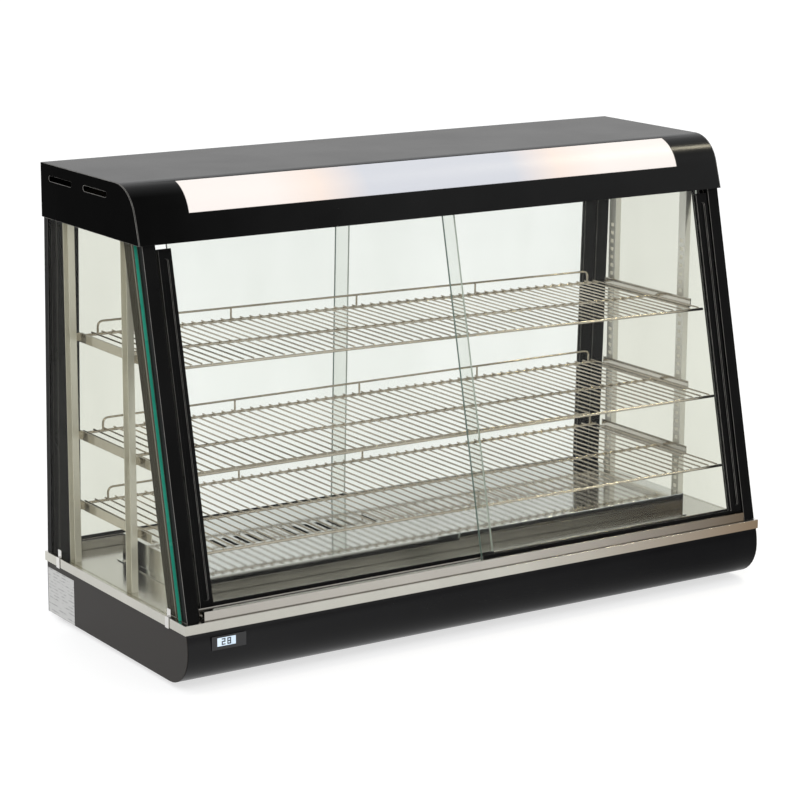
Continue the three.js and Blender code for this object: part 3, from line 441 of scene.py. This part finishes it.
def plastics():
    return {
        "foot": plastic("foot_rubber", grey(0.012), grey(0.02), (0.75, 0.9), scale=500, strength=0.4),
        "control": plastic("control_plastic", grey(0.012), grey(0.018), (0.35, 0.5)),
        "thermometer": plastic(
            "bezel_plastic",
            dark=(0.004, 0.004, 0.005),
            light=(0.007, 0.007, 0.008),
            roughness=(0.12, 0.2),
            scale=900,
            strength=0.04,
        ),
    }


def glasses():
    return {
        "glass": clear_glass("pane_glass", tint=(0.952, 0.960, 0.950), deep=(0.928, 0.938, 0.924)),
        # The side panes' cream tint is partly the glass's own colour and partly painted warm lamplight from
        # inside the case.
        "side_glass": clear_glass(
            "side_pane_glass", tint=(0.89, 0.89, 0.85), deep=(0.865, 0.865, 0.825), mirror_share=(0.002, 0.15)
        ),
        "glass_edge": glass_edge("pane_edge", (0.012, 0.19, 0.13), (0.03, 0.33, 0.23)),
        # The door panes' edges: a pale copy, painted lit, and a dark copy for their left faces, painted
        # shaded.
        "lit_door_edge": glass_edge("lit_door_pane_edge", (0.50, 0.56, 0.50), (0.60, 0.64, 0.58)),
        "shaded_door_edge": glass_edge("shaded_pane_edge", (0.08, 0.12, 0.10), (0.12, 0.17, 0.14)),
    }


def lit_surfaces():
    return {
        "diffuser": glowing(
            "opal_diffuser",
            cool=(0.345, 0.355, 0.385),
            blush=(0.49, 0.42, 0.38),
            warm=(0.50, 0.465, 0.445),
            strength=0.7,
            warm_x=0.42,
            reach=0.27,
        ),
        "lamp": glowing(
            "lamp_glass",
            cool=(1.0, 0.7, 0.4),
            blush=(1.0, 0.78, 0.5),
            warm=(1.0, 0.9, 0.7),
            strength=2.5,
            warm_x=0.365,
            reach=0.05,
        ),
    }


def build_materials():
    return {**black_paints(), **sheet_steels(), **small_metals(), **plastics(), **glasses(), **lit_surfaces()}


# ---- CAD nodes -----------------------------------------------------------------------------------

# Bevel widths in millimetres, by material slot. Sheet metal is folded, so its outer edges are a little round.
BEVELS = {
    "hood": 0.7,
    "base_gloss": 0.5,
    "base_side": 0.5,
    "profile": 0.9,
    "deck": 0.5,
    "rail": 0.7,
    "standard": 0.3,
    "bracket": 0.3,
    "cover": 0.5,
    "clip": 0.25,
    "ceiling": 0.3,
    "control": 0.5,
    "thermometer": 0.5,
    "thermostat": 0.4,
    "glass": 0.4,
    "diffuser": 0.3,
    "foot": 0.4,
}
# Slots whose bevels take the edge paint with its painted highlight.
HIGHLIT_EDGE_SLOTS = ("hood", "profile")
WELD_DISTANCE = 0.002 * MM
FLAT_ANGLE = math.radians(0.6)
EDGE_ANGLE = math.radians(32)


def finish_node(node, slot, materials):
    """Gives a CAD node its material, soft edges and smooth shading."""
    mesh = node.data
    mesh.materials.clear()
    mesh.materials.append(materials["hood_end" if node.name.startswith("hood_end") else slot])
    mesh.polygons.foreach_set("use_smooth", [True] * len(mesh.polygons))
    weld = node.modifiers.new("weld", "WELD")
    weld.merge_threshold = WELD_DISTANCE
    flat = node.modifiers.new("flat_faces", "DECIMATE")
    flat.decimate_type = "DISSOLVE"
    flat.angle_limit = FLAT_ANGLE
    flat.delimit = {"MATERIAL"}
    if slot in BEVELS:
        bevel = node.modifiers.new("soft_edges", "BEVEL")
        bevel.width = BEVELS[slot] * MM
        bevel.segments = 2
        bevel.limit_method = "ANGLE"
        bevel.angle_limit = EDGE_ANGLE
        # These bevels get the edge paint with the painted highlight on left-facing edges.
        if slot in HIGHLIT_EDGE_SLOTS:
            mesh.materials.append(materials["edge"])
            bevel.material = 1
    normals = node.modifiers.new("normals", "WEIGHTED_NORMAL")
    normals.keep_sharp = True
    normals.weight = 80


def paint_faces(node, material, wanted):
    """Gives material to the faces of a node for which wanted(centre, normal) is true."""
    node.data.materials.append(material)
    index = len(node.data.materials) - 1
    for face in node.data.polygons:
        if wanted(face.center, face.normal):
            face.material_index = index


LEAF_GAP = 2 * MM  # the leaf's outer face lies within this of the pane


def finish_side(side, materials):
    """The green front edge of one side pane, and the steel leaf of the front post behind it."""
    name = f"side_glass_{side}"
    pane = frame["nodes"][name]
    pane.data.materials[0] = materials["side_glass"]
    paint_faces(pane, materials["glass_edge"], lambda centre, normal: normal.y < -0.5)
    low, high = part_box(name)
    pane_x = min(abs(low.x), abs(high.x))

    def on_leaf(centre, normal):
        return pane_x - LEAF_GAP < abs(centre.x) < pane_x and centre.x * normal.x > 0.5 * pane_x

    paint_faces(frame["nodes"][f"front_post_{side}"], materials["post_steel"], on_leaf)


def finish_nodes(materials):
    slots = {row["node"]: row["material_slot"] for row in frame["record"]["subparts"]}
    for name, node in frame["nodes"].items():
        finish_node(node, slots[name], materials)
    # The deck's upright faces take the darker copy of the deck's steel, a painted shade.
    paint_faces(frame["nodes"]["deck"], materials["skirt"], lambda centre, normal: abs(normal.z) < 0.5)
    for side in ("left", "right"):
        finish_side(side, materials)
        for end in ("front", "rear"):
            door = frame["nodes"][f"{end}_door_{side}_glass"]
            # Painted light on the door panes' edges, and painted shade on their left-facing ones.
            paint_faces(door, materials["lit_door_edge"], lambda centre, normal: abs(normal.y) < 0.5)
            paint_faces(door, materials["shaded_door_edge"], lambda centre, normal: normal.x < -0.5)


# ---- Helpers for new pieces ----------------------------------------------------------------------


def add_piece(name, mesh, body, material):
    piece = bpy.data.objects.new(name, mesh)
    bpy.context.scene.collection.objects.link(piece)
    mesh.materials.append(material)
    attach(piece, body)
    return piece


def mesh_from(grid, name):
    """A Blender mesh of what grid holds. It uses grid up."""
    mesh = bpy.data.meshes.new(name)
    grid.to_mesh(mesh)
    grid.free()
    return mesh


def wires(name, runs, body, material, sides=3):
    """Round wires as one curve object. Each run is (radius, points)."""
    curve = bpy.data.curves.new(name, "CURVE")
    curve.dimensions = "3D"
    curve.bevel_depth = 1.0
    curve.bevel_resolution = sides
    curve.use_fill_caps = True
    for radius, points in runs:
        spline = curve.splines.new("POLY")
        spline.points.add(len(points) - 1)
        for point, place in zip(spline.points, points):
            point.co = (*place, 1)
            point.radius = radius
        spline.use_smooth = True
    return add_piece(name, curve, body, material)


def rounded_path(corners, radius, steps):
    """A path through corners, with each inner corner rounded by radius."""
    path = [Vector(corners[0])]
    for before, corner, after in zip(corners, corners[1:], corners[2:]):
        before, corner, after = Vector(before), Vector(corner), Vector(after)
        start = corner + (before - corner).normalized() * radius
        end = corner + (after - corner).normalized() * radius
        for i in range(steps + 1):
            t = i / steps
            path.append(start * (1 - t) ** 2 + corner * 2 * t * (1 - t) + end * t**2)
    path.append(Vector(corners[-1]))
    return path


def rounded_block(name, low, high, bevel, body, material):
    """A block with rounded edges between two corners."""
    grid = bmesh.new()
    bmesh.ops.create_cube(grid, size=1)
    bmesh.ops.scale(grid, vec=high - low, verts=grid.verts)
    bmesh.ops.translate(grid, vec=(low + high) / 2, verts=grid.verts)
    bmesh.ops.bevel(grid, geom=list(grid.edges), offset=bevel, segments=2, affect="EDGES", profile=0.6)
    mesh = mesh_from(grid, name)
    mesh.polygons.foreach_set("use_smooth", [True] * len(mesh.polygons))
    piece = add_piece(name, mesh, body, material)
    normals = piece.modifiers.new("normals", "WEIGHTED_NORMAL")
    normals.keep_sharp = True
    return piece


# ---- Wire shelves --------------------------------------------------------------------------------

# Radii of the long rods, of the slats across them and of the guard along the back.
ROD = 2.5 * MM
SLAT = 1.5 * MM
GUARD = 2.0 * MM
STRUT = 0.9 * GUARD
ROD_HALF_LENGTH = 0.5605
ROD_CENTRE = 4.3 * MM  # above the bracket's underside
REAR_ROD_Y = 0.193
MIDDLE_SHARE = 0.475  # of the way from the front rod to the rear one
SUPPORT_SPAN = 1.1143  # between the lines on which the two brackets carry a shelf

SLAT_COUNT = 57
SLAT_SPAN = 1.1
SLAT_CENTRE = ROD_CENTRE + ROD + 0.75 * SLAT
SLAT_NOSE = 0.6 * MM  # in front of the front rod's middle
SLAT_NOSE_DROP = 0.5 * MM  # below the rods' middles
SLAT_TAIL = 3.4 * MM  # behind the rear rod's middle
SLAT_BEND = 2.4 * MM

GUARD_HALF_LENGTH = 0.527
GUARD_CENTRE = 27 * MM
GUARD_SETBACK = 0.2 * MM  # in front of the rear rod's middle
GUARD_BEND = 11 * MM
GUARD_MIDDLES = {"bottom": 0.020, "middle": 0.013, "top": 0.0065}  # along X, by shelf
STRUTS = (-GUARD_HALF_LENGTH / 2, 0.0, GUARD_HALF_LENGTH / 2)


def shelf_runs(at, front_y, guard_x):
    """The wires of one shelf. at(x, y, z) brings a point from the shelf's own axes to the case's."""
    runs = []
    middle_y = front_y + MIDDLE_SHARE * (REAR_ROD_Y - front_y)
    for y in (front_y, middle_y, REAR_ROD_Y):
        runs.append((ROD, [at(x, y, ROD_CENTRE) for x in (-ROD_HALF_LENGTH, ROD_HALF_LENGTH)]))
    for i in range(SLAT_COUNT):
        x = -SLAT_SPAN / 2 + SLAT_SPAN * i / (SLAT_COUNT - 1)
        corners = [
            at(x, front_y - SLAT_NOSE, ROD_CENTRE - SLAT_NOSE_DROP),
            at(x, front_y - SLAT_NOSE, SLAT_CENTRE),
            at(x, REAR_ROD_Y + SLAT_TAIL, SLAT_CENTRE),
        ]
        runs.append((SLAT, rounded_path(corners, SLAT_BEND, 3)))
    guard_y = REAR_ROD_Y - GUARD_SETBACK
    corners = [
        at(guard_x - GUARD_HALF_LENGTH, guard_y, ROD_CENTRE),
        at(guard_x - GUARD_HALF_LENGTH, guard_y, GUARD_CENTRE),
        at(guard_x + GUARD_HALF_LENGTH, guard_y, GUARD_CENTRE),
        at(guard_x + GUARD_HALF_LENGTH, guard_y, ROD_CENTRE),
    ]
    runs.append((GUARD, rounded_path(corners, GUARD_BEND, 6)))
    for x in STRUTS:
        runs.append((STRUT, [at(guard_x + x, guard_y, z) for z in (ROD_CENTRE, GUARD_CENTRE)]))
    return runs


def add_shelf(level, guard_x, material):
    """A wire shelf, tilted where its left bracket hangs higher than its right one."""
    name = f"shelf_{level}"
    left_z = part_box(f"shelf_bracket_{level}_left")[0].z
    right_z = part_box(f"shelf_bracket_{level}_right")[0].z
    tilt = math.asin((left_z - right_z) / SUPPORT_SPAN)
    middle_z = (left_z + right_z) / 2

    def at(x, y, z):
        across = x * math.cos(tilt) + z * math.sin(tilt)
        return Vector((across, y, middle_z - x * math.sin(tilt) + z * math.cos(tilt)))

    runs = shelf_runs(at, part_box(name)[0].y + ROD, guard_x)
    piece = wires(f"{name}_wires", runs, name, material)
    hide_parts(name)


# ---- Screws --------------------------------------------------------------------------------------

# The outline of a pan head, from its crown to its foot: how far out, and how high, as shares of its radius.
PAN_HEAD = [(0.0, 0.55), (0.35, 0.53), (0.75, 0.42), (1.0, 0.16), (1.0, 0.0)]
SCREW_SEGMENTS = 24

COVER_SCREW_RADIUS = 4.5 * MM
COVER_SCREW_INSET_X = 7 * MM
COVER_SCREW_INSET_Y = 22 * MM
COVER_SCREW_RISE = 1.9 * MM  # of the head's foot above the deck, on the cover's flange

PANEL_SCREW_RADIUS = 3.6 * MM
PANEL_SCREW_INSET_X = 12 * MM
PANEL_SCREW_HEIGHTS = (("lower", 0.022), ("upper", 0.094))


def screw(name, centre, axis, radius, body, material):
    """The head of a plain pan-head screw, with its foot at centre."""
    grid = bmesh.new()
    previous = None
    (_, crown), *rings = PAN_HEAD
    top = grid.verts.new((0, 0, crown * radius))
    for share, height in rings:
        ring = []
        for i in range(SCREW_SEGMENTS):
            angle = 2 * math.pi * i / SCREW_SEGMENTS
            out = radius * share
            ring.append(grid.verts.new((out * math.cos(angle), out * math.sin(angle), radius * height)))
        for i in range(SCREW_SEGMENTS):
            j = (i + 1) % SCREW_SEGMENTS
            if previous is None:
                grid.faces.new((top, ring[i], ring[j]))
            else:
                grid.faces.new((previous[i], ring[i], ring[j], previous[j]))
        previous = ring
    grid.faces.new(list(reversed(previous)))
    mesh = mesh_from(grid, name)
    turn = Vector((0, 0, 1)).rotation_difference(Vector(axis)).to_matrix().to_4x4()
    mesh.transform(Matrix.Translation(centre) @ turn)
    mesh.polygons.foreach_set("use_smooth", [True] * len(mesh.polygons))
    return add_piece(name, mesh, body, material)


def add_cover_screws(material):
    low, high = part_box("heater_cover")
    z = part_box("deck")[1].z + COVER_SCREW_RISE
    for side, x in (("left", low.x + COVER_SCREW_INSET_X), ("right", high.x - COVER_SCREW_INSET_X)):
        for end, y in (("front", low.y + COVER_SCREW_INSET_Y), ("rear", high.y - COVER_SCREW_INSET_Y)):
            name = f"cover_screw_{end}_{side}"
            screw(name, Vector((x, y, z)), (0, 0, 1), COVER_SCREW_RADIUS, "heater_cover", material)


def add_panel_screws(material):
    low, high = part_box("base_rear_panel")
    for side, x in (("left", low.x + PANEL_SCREW_INSET_X), ("right", high.x - PANEL_SCREW_INSET_X)):
        for end, z in PANEL_SCREW_HEIGHTS:
            name = f"panel_screw_{end}_{side}"
            screw(name, Vector((x, high.y, z)), (0, 1, 0), PANEL_SCREW_RADIUS, "case", material)


# ---- Thermometer's display -----------------------------------------------------------------------

DISPLAY_LEFT_X = -0.543  # of the bezel's window
DISPLAY_RIGHT_X = -0.508
DISPLAY_RISE = 1 * MM  # of its middle above the bezel's
DISPLAY_HALF_HEIGHT = 7.2 * MM
DISPLAY_SIDE_GAP = 0.3 * MM  # between the window's end and the screen's
DISPLAY_RECESS = 0.7 * MM  # the depth of the bezel's window
DISPLAY_PROUD = 0.25 * MM  # of the window's floor
DISPLAY_SUNK = 0.2 * MM  # into the window's floor
DISPLAY_ROUNDING = 0.1 * MM

# The dark bars of the two digits, a to f clockwise from the top and g in the middle.
DIGIT_BARS = ("abged", "abcdefg")
DIGIT_WIDTH = 7 * MM
DIGIT_HEIGHT = 11 * MM
DIGIT_STROKE = 1.9 * MM
DIGIT_PITCH = 10.5 * MM
DIGIT_THICKNESS = 0.15 * MM
DIGIT_PROUD = 0.05 * MM  # of the screen, at the bars' middles
FIRST_DIGIT_X = 8 * MM  # from the screen's left end
DIGIT_Z = 1.8 * MM  # above the screen's lower edge


def display_light():
    """The pale blue light of the display, a little uneven."""
    glow = Paint("display_light", (0.35, 0.42, 0.48), roughness=0.3)
    shine = glow.mix(glow.ramp(glow.noise(60), 0, 1), (0.40, 0.49, 0.58), (0.52, 0.60, 0.68))
    glow.set(Base_Color=shine, Emission_Color=shine, Emission_Strength=0.55)
    return glow.material


def add_display():
    """The thermometer's lit display with two plain digits."""
    low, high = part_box("thermometer")
    floor_y = low.y + DISPLAY_RECESS
    centre_z = (low.z + high.z) / 2 + DISPLAY_RISE
    screen_low = Vector(
        (DISPLAY_LEFT_X + DISPLAY_SIDE_GAP, floor_y - DISPLAY_PROUD, centre_z - DISPLAY_HALF_HEIGHT)
    )
    screen_high = Vector(
        (DISPLAY_RIGHT_X - DISPLAY_SIDE_GAP, floor_y + DISPLAY_SUNK, centre_z + DISPLAY_HALF_HEIGHT)
    )
    light = display_light()
    rounded_block("display_screen", screen_low, screen_high, DISPLAY_ROUNDING, "case", light)
    ink = plastic("display_ink", (0.01, 0.012, 0.02), (0.02, 0.025, 0.035), (0.3, 0.4))
    for index, wanted in enumerate(DIGIT_BARS):
        add_digit(index, wanted, screen_low, ink)


def add_digit(index, wanted, corner, material):
    """One seven-segment digit as thin raised bars, on the screen whose lower left corner is given."""
    width, height, stroke = DIGIT_WIDTH, DIGIT_HEIGHT, DIGIT_STROKE
    left = corner.x + FIRST_DIGIT_X + DIGIT_PITCH * index
    bottom = corner.z + DIGIT_Z
    half = height / 2
    bars = {
        "a": (0, height - stroke, width, height),
        "b": (width - stroke, half, width, height),
        "c": (width - stroke, 0, width, half),
        "d": (0, 0, width, stroke),
        "e": (0, 0, stroke, half),
        "f": (0, half, stroke, height),
        "g": (0, half - stroke / 2, width, half + stroke / 2),
    }
    grid = bmesh.new()
    for key in wanted:
        x0, z0, x1, z1 = bars[key]
        made = bmesh.ops.create_cube(grid, size=1)["verts"]
        bmesh.ops.scale(grid, vec=(x1 - x0, DIGIT_THICKNESS, z1 - z0), verts=made)
        middle = (left + (x0 + x1) / 2, corner.y - DIGIT_PROUD, bottom + (z0 + z1) / 2)
        bmesh.ops.translate(grid, vec=middle, verts=made)
    mesh = mesh_from(grid, f"display_digit_{index}")
    add_piece(mesh.name, mesh, "case", material)


# ---- Rating plate --------------------------------------------------------------------------------

PLATE_PROUD = 0.35 * MM  # of the end panel
PLATE_SUNK = 0.1 * MM  # into it
PLATE_FRONT = 104 * MM  # in front of the end panel's rear edge
PLATE_REAR = 3 * MM  # likewise
PLATE_BELOW_TOP = 26 * MM
PLATE_ABOVE_FOOT = 0.5 * MM
PLATE_ROUNDING = 0.1 * MM
PLATE_LINES = 55  # the scale of the ruled lines
PLATE_INK = (0.27, 0.27, 0.27)
PLATE_FOIL = (0.46, 0.46, 0.45)


def plate_foil():
    """Silver foil with faint ruled lines and no lettering."""
    paint = Paint("rating_plate_foil", (0.42, 0.42, 0.41), roughness=0.4, metallic=0.1)
    lines = paint.node("TexWave", wave_type="BANDS", bands_direction="Z")
    paint.feed(lines.inputs["Vector"], paint.coordinates)
    paint.feed(lines.inputs["Scale"], PLATE_LINES)
    paint.feed(lines.inputs["Distortion"], 0.3)
    rows = paint.ramp(lines.outputs["Fac"], 0, 1, 0.55, 0.8)
    patches = paint.ramp(paint.noise(60, (1, 1, 3)), 0, 1, 0.45, 0.6)
    inked = paint.math("MULTIPLY", rows, patches)
    paint.set(Base_Color=paint.mix(inked, PLATE_FOIL, PLATE_INK))
    paint.set(Roughness=paint.ramp(paint.noise(80), 0.3, 0.5))
    return paint.material


def add_rating_plate():
    """A plain silver plate on the left end panel."""
    low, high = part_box("base_end_left")
    corner_low = Vector((low.x - PLATE_PROUD, high.y - PLATE_FRONT, low.z + PLATE_ABOVE_FOOT))
    corner_high = Vector((low.x + PLATE_SUNK, high.y - PLATE_REAR, high.z - PLATE_BELOW_TOP))
    rounded_block("rating_plate", corner_low, corner_high, PLATE_ROUNDING, "case", plate_foil())


# ---- Heating element -----------------------------------------------------------------------------

ELEMENT_RADIUS = 4 * MM  # of its CAD node's tube
ELEMENT_SLIMMING = 0.97  # of that radius
ELEMENT_BEND = 12 * MM
ELEMENT_FOOT = 0.5 * MM  # of its ends above the underside of its CAD node


def add_element(material):
    """The heating element as a round tube with two turned-down ends."""
    low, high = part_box("heating_element")
    x0, x1 = low.x + ELEMENT_RADIUS, high.x - ELEMENT_RADIUS
    y0, y1 = low.y + ELEMENT_RADIUS, high.y - ELEMENT_RADIUS
    z0, z1 = low.z + ELEMENT_FOOT, high.z - ELEMENT_RADIUS
    corners = [(x0, y0, z0), (x0, y0, z1), (x1, y0, z1), (x1, y1, z1), (x0, y1, z1), (x0, y1, z0)]
    run = (ELEMENT_RADIUS * ELEMENT_SLIMMING, rounded_path(corners, ELEMENT_BEND, 6))
    piece = wires("heating_element_tube", [run], "case", material, sides=4)
    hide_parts("heating_element")


# ---- Studio --------------------------------------------------------------------------------------

# The world goes from a dim horizon to a bright sky, by the height of the direction looked in.
HORIZON = (0.30, 0.275, 0.25)
SKY = (0.98, 0.99, 1.0)
HORIZON_UP_TO = -0.02
SKY_FROM = 0.22
SKY_STRENGTH = 0.95

FLOOR_HALF = 30.0
FLOOR_Z = -0.4 * MM
FLOOR_GLOW = 0.66  # which keeps the case's shadow faint, since the photograph shows none

CASE_MIDDLE = (0, 0, 0.4)

# A small warm light high up on the right, which brings out the bend of the hood at its right end.
HOOD_RIGHT_BEND = (0.55, -0.09, 0.79)
RIM_PLACE = (2.12, -0.43, 2.70)
RIM_SIZE = (0.25, 0.45)
RIM_COLOUR = (1, 0.92, 0.70)


def add_area(name, place, target, size, power, color=(1, 1, 1)):
    light = bpy.data.lights.new(name, "AREA")
    light.shape = "RECTANGLE"
    light.size, light.size_y = size
    light.energy = power
    light.color = color
    lamp = bpy.data.objects.new(name, light)
    lamp.location = place
    lamp.rotation_euler = (Vector(target) - Vector(place)).to_track_quat("-Z", "Y").to_euler()
    bpy.context.scene.collection.objects.link(lamp)
    return lamp


def add_world():
    world = bpy.data.worlds.new("studio")
    bpy.context.scene.world = world
    world.use_nodes = True
    nodes, links = world.node_tree.nodes, world.node_tree.links
    split = nodes.new("ShaderNodeSeparateXYZ")
    height = nodes.new("ShaderNodeMapRange")
    height.inputs["From Min"].default_value = HORIZON_UP_TO
    height.inputs["From Max"].default_value = SKY_FROM
    sky = nodes.new("ShaderNodeMix")
    sky.data_type = "RGBA"
    first_place, second_place, result = MIX_PLACES["RGBA"]
    sky.inputs[first_place].default_value = (*HORIZON, 1)
    sky.inputs[second_place].default_value = (*SKY, 1)
    links.new(nodes.new("ShaderNodeTexCoord").outputs["Generated"], split.inputs[0])
    links.new(split.outputs["Z"], height.inputs["Value"])
    links.new(height.outputs[0], sky.inputs["Factor"])
    links.new(sky.outputs[result], nodes["Background"].inputs["Color"])
    nodes["Background"].inputs["Strength"].default_value = SKY_STRENGTH


def add_floor():
    mesh = bpy.data.meshes.new("floor")
    signs = ((-1, -1), (1, -1), (1, 1), (-1, 1))
    mesh.from_pydata([(x * FLOOR_HALF, y * FLOOR_HALF, FLOOR_Z) for x, y in signs], [], [(0, 1, 2, 3)])
    floor = bpy.data.objects.new("floor", mesh)
    bpy.context.scene.collection.objects.link(floor)
    paint = Paint("floor_paper", grey(0.40), roughness=0.7)
    paint.vary((grey(0.39), grey(0.41)), scale=2)
    paint.set(Emission_Color=grey(1), Emission_Strength=FLOOR_GLOW)
    mesh.materials.append(paint.material)


def add_studio():
    add_world()
    add_floor()
    add_area("key", (-2.6, -2.6, 3.2), CASE_MIDDLE, size=(2.4, 2.4), power=60)
    add_area("fill", (3.2, -2.0, 2.0), CASE_MIDDLE, size=(2.0, 2.0), power=5)
    add_area("rim", RIM_PLACE, HOOD_RIGHT_BEND, RIM_SIZE, power=16, color=RIM_COLOUR)


# The camera as solved from the photograph's perspective. The lens and the sensor are in millimetres.
CAMERA_PLACE = (-2.5868, -3.9290, 1.4685)
CAMERA_AZIMUTH = math.radians(-33.086)
CAMERA_ELEVATION = math.radians(13.125)
CAMERA_ROLL = math.radians(0.262)
CAMERA_LENS = 122.0535
CAMERA_SENSOR = 36.0
CAMERA_SHIFT = (0.00225, -0.002875)


def add_camera():
    data = bpy.data.cameras.new("camera")
    camera = bpy.data.objects.new("camera", data)
    bpy.context.scene.collection.objects.link(camera)
    bpy.context.scene.camera = camera
    data.sensor_width = CAMERA_SENSOR
    data.lens = CAMERA_LENS
    data.shift_x, data.shift_y = CAMERA_SHIFT
    forward = Vector(
        (
            -math.sin(CAMERA_AZIMUTH) * math.cos(CAMERA_ELEVATION),
            math.cos(CAMERA_AZIMUTH) * math.cos(CAMERA_ELEVATION),
            -math.sin(CAMERA_ELEVATION),
        )
    )
    right = forward.cross(Vector((0, 0, 1))).normalized()
    up = right.cross(forward)
    turned_right = right * math.cos(CAMERA_ROLL) + up * math.sin(CAMERA_ROLL)
    turned_up = up * math.cos(CAMERA_ROLL) - right * math.sin(CAMERA_ROLL)
    rotation = Matrix((turned_right, turned_up, -forward)).transposed().to_4x4()
    camera.matrix_world = Matrix.Translation(CAMERA_PLACE) @ rotation


# ---- Scene ---------------------------------------------------------------------------------------

MATERIALS = build_materials()
finish_nodes(MATERIALS)
for shelf_level, guard_middle in GUARD_MIDDLES.items():
    add_shelf(shelf_level, guard_middle, MATERIALS["wire"])
add_cover_screws(MATERIALS["clip"])
add_panel_screws(MATERIALS["control"])
add_display()
add_rating_plate()
add_element(MATERIALS["element"])
add_studio()
add_camera()
bpy.context.scene.view_settings.view_transform = "Standard"
